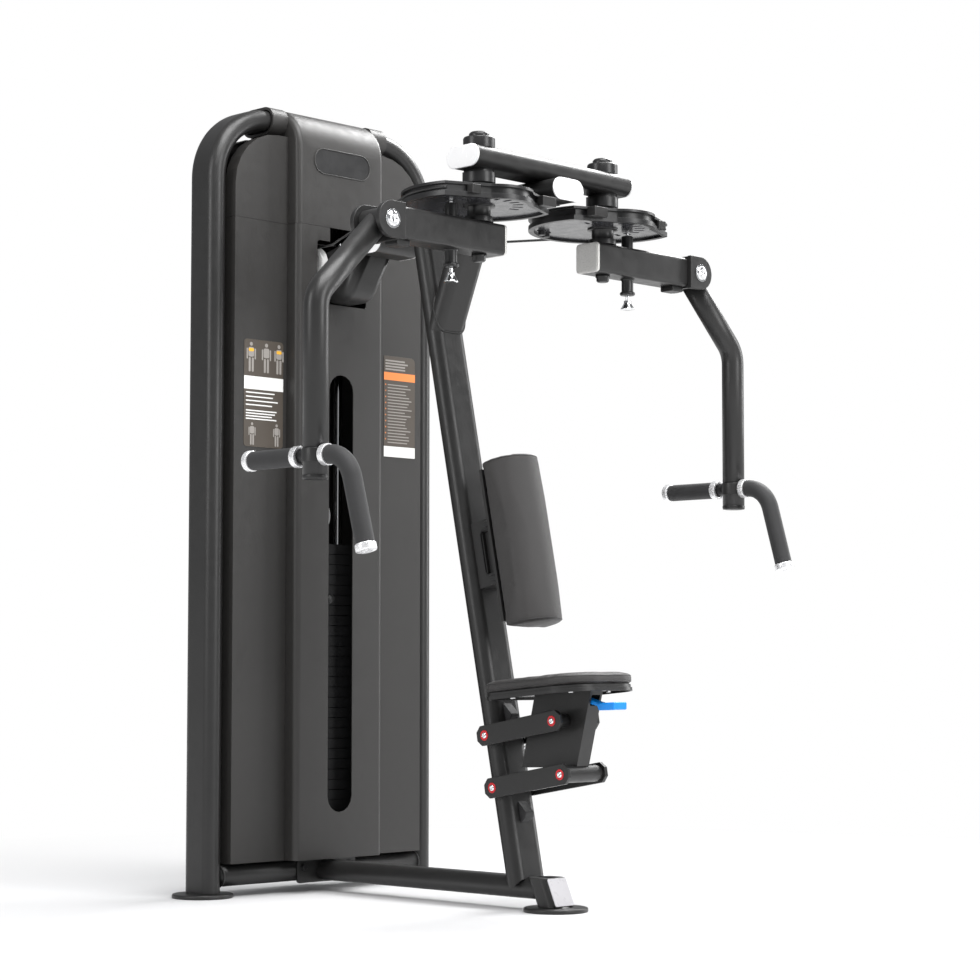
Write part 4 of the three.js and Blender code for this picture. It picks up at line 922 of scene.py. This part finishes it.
LEFT_SHAFT = pivot("left_cam_swing")
CAM_R = high("cam_right").x - pivot("right_cam_swing").x
CAM_LOW_Z = 1579              # underside of the cam's plate
CAM_HIGH_Z = 1606             # top of its upper rim
ARM_Z = pivot("left_handle_swing").z
ARM_SIZE = 70
SLOT_RING_R = LEFT_SHAFT.x - middle("pop_pin_left").x
HINGE_X = pivot("left_handle_swing").x - LEFT_SHAFT.x
ARM_INNER_X = high("arm_left").x - LEFT_SHAFT.x
ARM_OUTER_X = -277            # end of the square arm tube, where the hinge ears start
ARM_BOTTOM_Z = ARM_Z - ARM_SIZE / 2
ARM_SECTION = rectangle(ARM_SIZE, ARM_SIZE, 9, 6)
EAR_R = 40
SLOT_COUNT = 11
SLOT_STEP = 18                # degrees between the start-position slots
CAM_GROOVE_DEPTH = 9
CABLE_R = 3
TUBE_AT = middle("rear_grip_left").x - LEFT_SHAFT.x


def on_side(shapes, sign):
    place = Matrix.Translation((LEFT_SHAFT.x, LEFT_SHAFT.y, 0))
    return placed(shapes, Matrix.Diagonal((-sign, 1, 1, 1)) @ place)


def side_pieces(stem, body, material, shapes, edge=0.8, stands_for=None, slot=None):
    """One mirrored piece on each side; body and stands_for are the stems of the side's names."""
    for side, sign in SIDES:
        node = stands_for and f"{stands_for}_{side}"
        piece(f"{stem}_{side}", f"{side}_{body}", material, on_side(shapes, sign), edge, node, slot)


def cam_outline(inset):
    return arc((0, 0), CAM_R - inset, -20, 200, 56) + arc((0, -42), 92 - inset, 222, 318, 18)


def add_cams():
    slots = []
    for i in range(SLOT_COUNT):
        turn = Matrix.Rotation(math.radians(180 + (i - 1) * SLOT_STEP), 2)
        slot = rectangle(24, 9.5, 3, 3, (SLOT_RING_R, 0))
        slots.append([tuple(turn @ Vector(point)) for point in slot])
    disc = slab(cam_outline(3), CAM_LOW_Z, CAM_LOW_Z + 6, PLAN, slots)
    rims = [slab(cam_outline(0), CAM_LOW_Z - 5, CAM_LOW_Z + 6, PLAN, [cam_outline(13)]),
            slab(cam_outline(CAM_GROOVE_DEPTH), CAM_LOW_Z + 5, CAM_HIGH_Z - 5, PLAN, [cam_outline(22)]),
            slab(cam_outline(0), CAM_HIGH_Z - 6, CAM_HIGH_Z, PLAN, [cam_outline(22)])]
    stops = [block((98, -105, CAM_LOW_Z + 2), (142, -79, CAM_LOW_Z + 24)),
             block((-117, -97, CAM_LOW_Z + 2), (-91, -79, CAM_LOW_Z + 22))]
    # The cam plates' lighter colour is painted sheen on their undersides.
    side_pieces("cam_plate", "cam", CAM_COAT_PAINTED_SHEEN, [disc], 0.5, "cam")
    side_pieces("cam_rim", "cam", HOUSING_COAT, rims, 0.8, slot="powder_coat")
    side_pieces("cam_stops", "cam", BLACK_COAT, stops, 1.5)
    clamps = []
    for x, y in ((58, 128), (86, 116)):
        clamps += hex_head((x, y, CAM_LOW_Z), -Z_AXIS, 9, 9)
    side_pieces("cable_clamps", "cam", HOUSING_COAT, clamps, 0.5)


def add_cam_cables():
    """The part of each arm cable that lies in its cam's groove."""
    radius = CAM_R - CAM_GROOVE_DEPTH + CABLE_R + 0.3
    z = middle("arm_cable_left").z
    wrap = []
    for x, y in arc((0, 0), radius, 85, 200, 40):
        wrap.append((Vector((x, y, z)), Vector((-y, x, 0)).normalized()))
    side_pieces("cam_cable", "cam", CABLE_SHEATH, [sweep(circle(CABLE_R, 12), wrap, Z_AXIS)], 0)


def add_spindles():
    """Shaft of each arm, from the nut under the arm to the cap above the crossbar."""
    arm_top = ARM_Z + ARM_SIZE / 2
    cap_z = high("cam_left").z - 12
    spindle = lifted(ARM_BOTTOM_Z, (0, -17), (12, -17), (15, -14), (15, -6), (17, -6), (17, -0.4), (12, -0.4))
    spindle += lifted(arm_top, (12, 1), (31, 1), (32, 2), (32, 13), (31, 14), (26, 14))
    spindle += lifted(CAM_LOW_Z, (26, -4), (34, -4), (36, -2))
    spindle += lifted(CAM_HIGH_Z, (36, -4), (34, -2), (15, -2))
    spindle += lifted(cap_z, (15, 0), (22, 0), (23, 1), (23, 8), (19, 12), (9, 12), (9, 8), (0, 8))
    side_pieces("arm_spindle", "cam", HOUSING_COAT, [turned(spindle, (0, 0, 0), Z_AXIS, 64)], 0)


def add_arms():
    """Square tube of each arm with two hinge ears, a web between them and a rubber bumper below."""
    half = ARM_SIZE / 2
    path = bent_path([(ARM_INNER_X - 4, 0, ARM_Z), (ARM_OUTER_X, 0, ARM_Z)])
    tube = sweep(ARM_SECTION, path, Y_AXIS)
    ear = [(ARM_OUTER_X + 8, ARM_Z - EAR_R), (ARM_OUTER_X + 8, ARM_Z + EAR_R)]
    ear += arc((HINGE_X, ARM_Z), EAR_R, 90, 270, 28)
    ears = [slab(ear, start - 12, start, FRONT) for start in (0.5 - half, half + 11.5)]
    web = block((ARM_OUTER_X - 3, -half + 1, ARM_Z - 39), (ARM_OUTER_X + 7, half - 1, ARM_Z + 39))
    bumper = block((ARM_OUTER_X + 6, -20, ARM_BOTTOM_Z - 13), (ARM_OUTER_X + 46, 20, ARM_BOTTOM_Z + 1))
    side_pieces("arm_beam", "arm", BLACK_COAT, [tube], 0.8, "arm")
    side_pieces("arm_ears", "arm", BLACK_COAT, ears, 1.6)
    side_pieces("arm_web", "arm", BLACK_COAT, [web], 1.2)
    side_pieces("arm_bumper", "arm", BLACK_PLASTIC, [bumper], 3)


def add_arm_caps():
    """Satin plate that closes each arm's inner end, with a raised face."""
    cap = slab(moved(ARM_SECTION, 0, ARM_Z), ARM_INNER_X - 4, ARM_INNER_X + 2.6, SIDE)
    face = rectangle(ARM_SIZE - 6, ARM_SIZE - 6, 7, 6, (0, ARM_Z))
    panel = slab(face, ARM_INNER_X + 2.4, ARM_INNER_X + 4, SIDE)
    side_pieces("arm_cap_rim", "arm", SATIN_STEEL, [cap], 1.6, "arm_cap")
    side_pieces("arm_cap_face", "arm", SATIN_STEEL, [panel], 0.8)


def add_start_pins():
    """Start-position pin of each arm with its knob, and its sleeves below and above the arm."""
    centre = (-SLOT_RING_R, 0, 0)
    lower = lifted(ARM_BOTTOM_Z, (5, -39), (16, -39), (18, -37), (18, -33), (16, -31), (14, -30), (14, -4),
                   (17, -2), (17, 2), (5, 2))
    upper = lifted(ARM_Z + ARM_SIZE / 2, (5, -2), (17, -2), (17, 2), (14, 4))
    upper += lifted(CAM_LOW_Z, (14, -8), (12.5, -6.4), (5, -6.4))
    side_pieces("pin_housing", "arm", HOUSING_COAT, [turned(lower, centre), turned(upper, centre)], 0)
    pin = lifted(ARM_BOTTOM_Z - 51.5, (0, -22), (12, -22), (16, -21), (16.5, -19.5), (14, -16), (10, -9),
                 (8.6, -5), (8.6, -1), (7.5, 0), (4, 0))
    pin += lifted(CAM_LOW_Z, (4, -1.6), (3, -1), (0, -1))
    side_pieces("start_pin", "pop_pin", CHROME, [turned(pin, centre)], 0, "pop_pin")


def add_hinge_screws():
    """Bolt of each handle's hinge with its two domed heads and a washer in front."""
    face = ARM_SIZE / 2 + 11.5
    heads = bolt_head((HINGE_X, -face, ARM_Z), -Y_AXIS, 17, 6.5)
    heads += bolt_head((HINGE_X, face, ARM_Z), Y_AXIS, 15, 5)
    heads.append(rod(8, (HINGE_X, -face - 1, ARM_Z), (HINGE_X, face + 1, ARM_Z), 0.5, 32))
    heads.append(washer(8, 21, (HINGE_X, -face, ARM_Z), (HINGE_X, -face - 1.6, ARM_Z), 0.4, 48))
    side_pieces("hinge_screw", "arm", CHROME, heads, 0, "hinge_bolt")


HANDLE_R = 27
GRIP_Z = middle("rear_grip_left").z
HANDLE_LOW_Z = GRIP_Z - 50
GRIP_R = 20.5
GRIP_TOP_END = 214
GRIP_BEND_AT = -100
GRIP_BEND_R = 72
GRIP_LOW_END = (-158, GRIP_Z - 202)


def grip_path(start, shorten=0.0):
    knots = [(TUBE_AT, start, GRIP_Z), (TUBE_AT, GRIP_BEND_AT, GRIP_Z), (TUBE_AT, *GRIP_LOW_END)]
    path = bent_path(knots, GRIP_BEND_R, 16)
    point, tangent = path[-1]
    path[-1] = (point - tangent * shorten, tangent)
    return path


def add_handles():
    """Hanging tube of each handle with its hinge barrel, grip collar and plugged lower end."""
    knee = (TUBE_AT, 0, ARM_Z - (HINGE_X - TUBE_AT))
    path = bent_path([(HINGE_X, 0, ARM_Z), knee, (TUBE_AT, 0, HANDLE_LOW_Z)], 70, 16)
    tube = sweep(circle(HANDLE_R, 40), path, Y_AXIS)
    barrel = rod(28, (HINGE_X, -33.5, ARM_Z), (HINGE_X, 33.5, ARM_Z), 1.2, 56)
    side_pieces("handle_tube", "handle", BLACK_COAT, [tube, barrel], 0, "handle")
    collar = washer(26, 29.5, (TUBE_AT, 0, GRIP_Z - 15), (TUBE_AT, 0, GRIP_Z + 15), 1.5, 56)
    side_pieces("handle_collar", "handle", BLACK_COAT, [collar], 0)
    plug = [(0, 0), (21, 0), (26, 1.5), (27.6, 4), (27.6, 9), (26.5, 10), (0, 10)]
    plug_shape = turned(plug, (TUBE_AT, 0, HANDLE_LOW_Z - 1), Z_AXIS, 56)
    side_pieces("handle_plug", "handle", BLACK_PLASTIC, [plug_shape], 0)


def add_grips():
    """Grip bar through each handle: rubber sleeves, bright rings beside the tube and bright end caps."""
    core = sweep(circle(15, 32), grip_path(GRIP_TOP_END - 2, 2), X_AXIS)
    side_pieces("grip_bar", "handle", HOUSING_COAT, [core], 0, slot="powder_coat")
    rings = []
    for start, end in ((45, 61.5), (-43.5, -28)):
        rings.append(washer(15, 23, (TUBE_AT, start, GRIP_Z), (TUBE_AT, end, GRIP_Z), 1.2, 56))
    side_pieces("grip_rings", "handle", ALUMINIUM, rings, 0, slot="chrome")
    cap = [(0, 0), (20, 0), (22.4, 1.2), (22.8, 3), (22.8, 13), (21.5, 15.5), (18, 16.5), (6, 16.5),
           (5, 14), (0, 14)]
    point, tangent = grip_path(0)[-1]
    caps = [turned(cap, (TUBE_AT, GRIP_TOP_END - 13.5, GRIP_Z), Y_AXIS, 56),
            turned(cap, point - tangent * 13.5, tangent, 56)]
    side_pieces("grip_caps", "handle", ALUMINIUM, caps, 0, slot="chrome")
    straight = bent_path([(TUBE_AT, 62, GRIP_Z), (TUBE_AT, GRIP_TOP_END - 14, GRIP_Z)])
    for place, path in (("rear", straight), ("front", grip_path(-44, 14))):
        sleeve = sweep(circle(GRIP_R, 40), path, X_AXIS)
        side_pieces(f"{place}_sleeve", "handle", GRIP_RUBBER, [sleeve], 2.5, f"{place}_grip", "grip")


# ---- seat ----

SEAT_TILT = math.radians(5)
SEAT_THICK = 27
SEAT_FRONT_R = 90
SEAT_REAR_R = 40
LINK_IN = 56
LINK_OUT = 66
LINK_RUN = Vector((0, -210, 36.2))
LINK_WIDE = 46
LINK_REACH = 25               # from a pivot to the bar's end
LINK_CHAMFER = 13


def link_outline(rear, front):
    """Side outline (y, z) of a bar with chamfered ends between two pivots."""
    run = Vector((front.y - rear.y, front.z - rear.z))
    end = run.length + LINK_REACH
    run.normalize()
    up = Vector((-run.y, run.x))
    half, cut = LINK_WIDE / 2, LINK_CHAMFER
    corners = [(-LINK_REACH, cut - half), (cut - LINK_REACH, -half), (end - cut, -half), (end, cut - half),
               (end, half - cut), (end - cut, half), (cut - LINK_REACH, half), (-LINK_REACH, half - cut)]
    return [tuple(rear.yz + run * u + up * v) for u, v in corners]


def add_links():
    for level, shaft_r in (("upper", 8), ("lower", 19)):
        node = f"seat_link_{level}"
        rear = pivot(f"{node}_swing")
        front = rear + LINK_RUN
        outline = link_outline(rear, front)
        bars = [slab(outline, *sorted((sign * LINK_IN, sign * LINK_OUT)), SIDE) for _, sign in SIDES]
        piece(f"{node}_bars", node, BLACK_COAT, bars, 1.2, node)
        across = Vector((LINK_IN + 2, 0, 0))
        shafts = [rod(8, rear - across, rear + across, 0.5, 32),
                  rod(shaft_r, front - across, front + across, 0.5, 48)]
        piece(f"{node}_shafts", node, BLACK_COAT, shafts, 0)
        if level == "upper":
            bosses = []
            for _, sign in SIDES:
                inner = front + Vector((sign * 21, 0, 0))
                outer = front + Vector((sign * (LINK_IN + 1), 0, 0))
                bosses.append(rod(15, inner, outer, 1.5, 40))
            piece(f"{node}_bosses", node, HOUSING_COAT, bosses, 0, slot="powder_coat")
        washers = []
        screws = []
        for _, sign in SIDES:
            for point in (rear, front):
                face = Vector((sign * LINK_OUT, point.y, point.z))
                out = X_AXIS * sign
                washers.append(washer(7, 11.8, face - out, face + out * 1.6, 0.7, 40))
                screws += bolt_head(face - out * 0.4, out, 7.4, 4.2)
        piece(f"{node}_washers", node, RED, washers, 0)
        piece(f"{node}_screws", node, CHROME, screws, 0)


def seat_place():
    """Matrix of the tilted seat: its origin is the rear top edge, -Y runs forward along the seat."""
    rear_top = low("seat_pad").z + SEAT_THICK * math.cos(SEAT_TILT)
    place = Matrix.Translation((0, high("seat_pad").y, rear_top))
    return place @ Matrix.Rotation(-SEAT_TILT, 4, "X")


def seat_outline(inset):
    """Outline of the seat in its own plane, drawn in by inset; its front corners are rounder."""
    size = high("seat_pad") - low("seat_pad")
    half = size.x / 2 - inset
    front = inset - (size.y - SEAT_THICK * math.sin(SEAT_TILT)) / math.cos(SEAT_TILT)
    return rounded([(-half, front, SEAT_FRONT_R - inset), (half, front, SEAT_FRONT_R - inset),
                    (half, -inset, SEAT_REAR_R - inset), (-half, -inset, SEAT_REAR_R - inset)], 12)


def add_seat_base():
    """Board under the seat cushion with its bolts, and the top of the gas spring."""
    dress(BLACK_COAT, "seat_carrier")
    place = seat_place()
    size = high("seat_pad") - low("seat_pad")
    length = size.y / math.cos(SEAT_TILT)
    under = -SEAT_THICK - 9.5
    bolts = []
    for x in (-62, 62):
        for y in (-48, 72 - length):
            bolts += placed(hex_head((x, y, under), -Z_AXIS, 6, 4), place)
    piece("seat_board_bolts", "seat_carrier", BOLT_STEEL, bolts, 0.3)
    board = slab(seat_outline(6), under - 6, under + 2, PLAN, [seat_outline(10)])
    piece("seat_board_flange", "seat_carrier", BLACK_COAT, placed([board], place), 0.6)
    spring_top = Vector((-10, low("seat_carrier").y + 239, 374))
    stub = rod(5, spring_top, spring_top + Vector((0, 10, -12)), 1, 24)
    piece("gas_spring_stub", "seat_carrier", ALUMINIUM, [stub], 0)


def add_lever():
    """Blue lever with a wide paddle at its front end."""
    z = pivot("seat_lever_pull").z
    rear = high("seat_lever").y
    tip = low("seat_lever").y
    stem = [(rear, z + 5), (rear, z - 5), (rear - 40, z - 15), (tip + 46, z - 18), (tip + 44, z - 8),
            (rear - 30, z - 3)]
    paddle = rounded([(tip + 54, z - 7, 3), (tip + 46, z - 23, 5), (tip, z - 21, 3), (tip, z - 4, 3)], 4)
    piece("lever_stem", "seat_lever", BLUE, [slab(stem, -12, 12, SIDE)], 2.2, "seat_lever")
    piece("lever_paddle", "seat_lever", BLUE, [slab(paddle, -22, 22, SIDE)], 2.6)


# ---- upholstery: a block is remeshed, puffed as cloth under pressure, and held to a few millimetres ----


def soft_pad(name, shapes, body, node, puff, seams, place=Matrix.Identity(4)):
    """Padded vinyl cushion; seams are closed loops of points that the piping follows."""
    pad = add_object(name, build_mesh(name, placed(shapes, place)))
    rounding = pad.modifiers.new("corners", "BEVEL")
    rounding.width = 6 * MM
    rounding.segments = 4
    rounding.limit_method = "ANGLE"
    rounding.angle_limit = math.radians(40)
    remesh = pad.modifiers.new("voxels", "REMESH")
    remesh.mode = "VOXEL"
    remesh.voxel_size = 5 * MM
    relax = pad.modifiers.new("relax", "SMOOTH")
    relax.factor = 0.5
    relax.iterations = 4
    bake(pad)
    puff_up(pad, puff)
    finer = pad.modifiers.new("finer", "SUBSURF")
    finer.levels = 1
    finer.render_levels = 1
    bake(pad)
    finish_mesh(pad.data, VINYL)
    corners = [vertex.co for vertex in pad.data.vertices]
    surface = BVHTree.FromPolygons(corners, [face.vertices for face in pad.data.polygons])
    beads = []
    for loop in seams:
        points = [surface.find_nearest(place @ Vector(point) * MM)[0] / MM for point in loop]
        beads.append(tube_loop(relaxed(points), 1.5))
    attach(pad, body)
    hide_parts(node)
    piece(f"{name}_piping", body, PIPING, beads, 0)


def relaxed(points, rounds=2):
    for _ in range(rounds):
        size = len(points)
        points = [(points[i - 1] + points[i] * 2 + points[(i + 1) % size]) / 4 for i in range(size)]
    return points


def bake(thing):
    """Applies every modifier by taking the evaluated mesh."""
    evaluated = thing.evaluated_get(bpy.context.evaluated_depsgraph_get())
    mesh = bpy.data.meshes.new_from_object(evaluated)
    thing.modifiers.clear()
    thing.data = mesh


def puff_up(pad, limit):
    """Cloth under light pressure for 20 frames; no point moves further than the limit in millimetres."""
    rest = [v.co.copy() for v in pad.data.vertices]
    cloth = pad.modifiers.new("cloth", "CLOTH")
    cloth.settings.use_pressure = True
    cloth.settings.uniform_pressure_force = 4
    cloth.settings.effector_weights.gravity = 0
    cloth.settings.quality = 5
    scene = bpy.context.scene
    for step in range(1, 21):
        scene.frame_set(step)
    bake(pad)
    scene.frame_set(1)
    for vertex, home in zip(pad.data.vertices, rest):
        shift = vertex.co - home
        if shift.length > limit * MM:
            vertex.co = home + shift.normalized() * limit * MM


PAD_INSET = 3.0
BACK_PAD_SIDE = 28            # straight part of the back pad's sides, behind its half round
BACK_PAD_LENGTH = 398
PAD_BOARD_THICK = 8
PAD_BLOCK_Z = -204.5          # middle of the bracket's block, along the pad from its top


def dense(outline, step=8.0):
    """The outline with extra points on its long straight runs."""
    points = []
    size = len(outline)
    for i in range(size):
        a = Vector(outline[i])
        b = Vector(outline[(i + 1) % size])
        steps = max(1, round((b - a).length / step))
        points += [tuple(a.lerp(b, k / steps)) for k in range(steps)]
    return points


def add_back_pad():
    top = high("back_pad")
    radius = top.x
    length = BACK_PAD_LENGTH
    arc_y = top.y - BACK_PAD_SIDE * math.cos(POST_LEAN)
    arc_z = top.z - radius * math.sin(POST_LEAN)
    place = Matrix.Translation((0, arc_y, arc_z)) @ Matrix.Rotation(-POST_LEAN, 4, "X")
    rear = BACK_PAD_SIDE - PAD_INSET
    section = [(radius - PAD_INSET, rear), (PAD_INSET - radius, rear)]
    section += arc((0, 0), radius - PAD_INSET, 180, 360, 40)
    body = slab(section, -length + PAD_INSET, -PAD_INSET)
    outer = dense([(radius, BACK_PAD_SIDE), (-radius, BACK_PAD_SIDE)] + arc((0, 0), radius, 180, 360, 48))
    seams = [[(x, y, z) for x, y in outer] for z in (-7, 7 - length)]
    soft_pad("back_cushion", [body], "frame", "back_pad", PAD_INSET + 1.5, seams, place)
    dress(BLACK_COAT, "back_pad_bracket")
    middle_y = BACK_PAD_SIDE + PAD_BOARD_THICK + 27
    pocket = (middle_y, PAD_BLOCK_Z)
    lip = slab(rectangle(57, 111, 13, 8, pocket), -35, -31.5, SIDE, [rectangle(50, 104, 10, 8, pocket)])
    piece("pad_bracket_lip", "frame", HOUSING_COAT, placed([lip], place), 0.8, slot="powder_coat")
    bolts = []
    for z in (PAD_BLOCK_Z - 64, PAD_BLOCK_Z + 64):
        for _, sign in SIDES:
            bolts += hex_head((sign * 32, middle_y, z), X_AXIS * sign, 8, 6)
    piece("pad_bracket_bolts", "frame", HOUSING_COAT, placed(bolts, place), 0.5)


def add_seat_pad():
    body = slab(seat_outline(PAD_INSET), -SEAT_THICK + 1, -PAD_INSET)
    seams = [[(x, y, z) for x, y in dense(seat_outline(0))] for z in (-5, 3 - SEAT_THICK)]
    soft_pad("seat_cushion", [body], "seat_carrier", "seat_pad", PAD_INSET + 1, seams, seat_place())


# ---- stage ----

CAMERA_PLACE = (-4.0652, -4.1588, 0.5508)
CAMERA_YAW = math.radians(45.47)
CAMERA_PITCH = math.radians(4.10)
CAMERA_LENS = 90.04
FLOOR_FADE_START = 1.0
FLOOR_FADE_END = 2.6
FLOOR_REACH = 30


def add_camera():
    data = bpy.data.cameras.new("camera")
    data.lens = CAMERA_LENS
    data.sensor_width = 36
    camera = add_object("camera", data)
    camera.location = CAMERA_PLACE
    look = Vector((math.sin(CAMERA_YAW), math.cos(CAMERA_YAW), math.tan(CAMERA_PITCH)))
    camera.rotation_euler = look.to_track_quat("-Z", "Y").to_euler()
    bpy.context.scene.camera = camera


def add_light(name, place, aim, size, power, height=None):
    data = bpy.data.lights.new(name, "AREA")
    data.energy = power
    data.size = size
    if height:
        data.shape = "RECTANGLE"
        data.size_y = height
    light = add_object(name, data)
    light.location = place
    light.rotation_euler = (Vector(aim) - Vector(place)).to_track_quat("-Z", "Y").to_euler()


def mix_shaders(tree, factor, first, second):
    return add_node(tree, "ShaderNodeMixShader", {0: factor, 1: first, 2: second}).outputs[0]


def add_world():
    """White to the camera, a softer grey sky as light."""
    world = bpy.data.worlds.new("studio")
    world.use_nodes = True
    tree = world.node_tree
    tree.nodes.clear()
    sky = add_node(tree, "ShaderNodeBackground", {"Color": (0.97, 0.98, 1, 1), "Strength": 0.32})
    seen = add_node(tree, "ShaderNodeBackground", {"Color": (1, 1, 1, 1), "Strength": 1.0})
    by_camera = add_node(tree, "ShaderNodeLightPath").outputs["Is Camera Ray"]
    mix = mix_shaders(tree, by_camera, sky.outputs[0], seen.outputs[0])
    add_node(tree, "ShaderNodeOutputWorld", {"Surface": mix})
    bpy.context.scene.world = world


def add_floor():
    """Pale floor round the machine that fades into the white backdrop."""
    material, tree, shader = new_material("studio_floor")
    shades = blend_colors(tree, noise(tree, 1.5), (0.70, 0.70, 0.705), (0.72, 0.72, 0.725))
    set_inputs(tree, shader, {"Base Color": shades, "Roughness": 0.6})
    distance = add_node(tree, "ShaderNodeVectorMath", {0: object_place(tree)}, operation="LENGTH")
    fade = remap(tree, distance.outputs["Value"], 0, 1, FLOOR_FADE_START, FLOOR_FADE_END)
    glow = add_node(tree, "ShaderNodeEmission").outputs[0]
    output = next(node for node in tree.nodes if node.type == "OUTPUT_MATERIAL")
    set_inputs(tree, output, {"Surface": mix_shaders(tree, fade, shader.outputs[0], glow)})
    mesh = bpy.data.meshes.new("floor")
    corners = bar(-FLOOR_REACH, FLOOR_REACH, -FLOOR_REACH, FLOOR_REACH)
    mesh.from_pydata([(x, y, 0) for x, y in corners], [], [(0, 1, 2, 3)])
    mesh.materials.append(material)
    add_object("floor", mesh)


def add_stage():
    bpy.context.scene.view_settings.view_transform = "Standard"
    add_world()
    add_floor()
    add_camera()
    add_light("overhead", (-0.6, -1.6, 4.6), (0, 0, 0.8), 3.0, 230)
    add_light("hood_glow", (3.4, 0.5, 4.6), (0, 0.2, 1.6), 2.2, 260)
    add_light("left_window", (-4.6, 0.6, 2.6), (0, 0, 1.2), 1.4, 60, 3.0)
    add_light("front_window", (0.9, -5.2, 2.6), (0, 0, 1.0), 1.8, 110, 3.0)
    add_light("right_window", (4.8, -1.5, 2.2), (0, 0, 1.0), 1.6, 100, 4.0)


add_tower()
add_cladding()
add_badge()
add_stack()
add_pulleys()
add_muscle_placard()
add_use_placard()
add_base_beam()
add_main_post()
add_brace()
add_post_stops()
add_boom()
add_neck()
add_rear_cross_tube()
add_crossbar()
add_cams()
add_cam_cables()
add_spindles()
add_arms()
add_arm_caps()
add_start_pins()
add_hinge_screws()
add_handles()
add_grips()
add_links()
add_seat_base()
add_lever()
add_seat_pad()
add_back_pad()
add_stage()
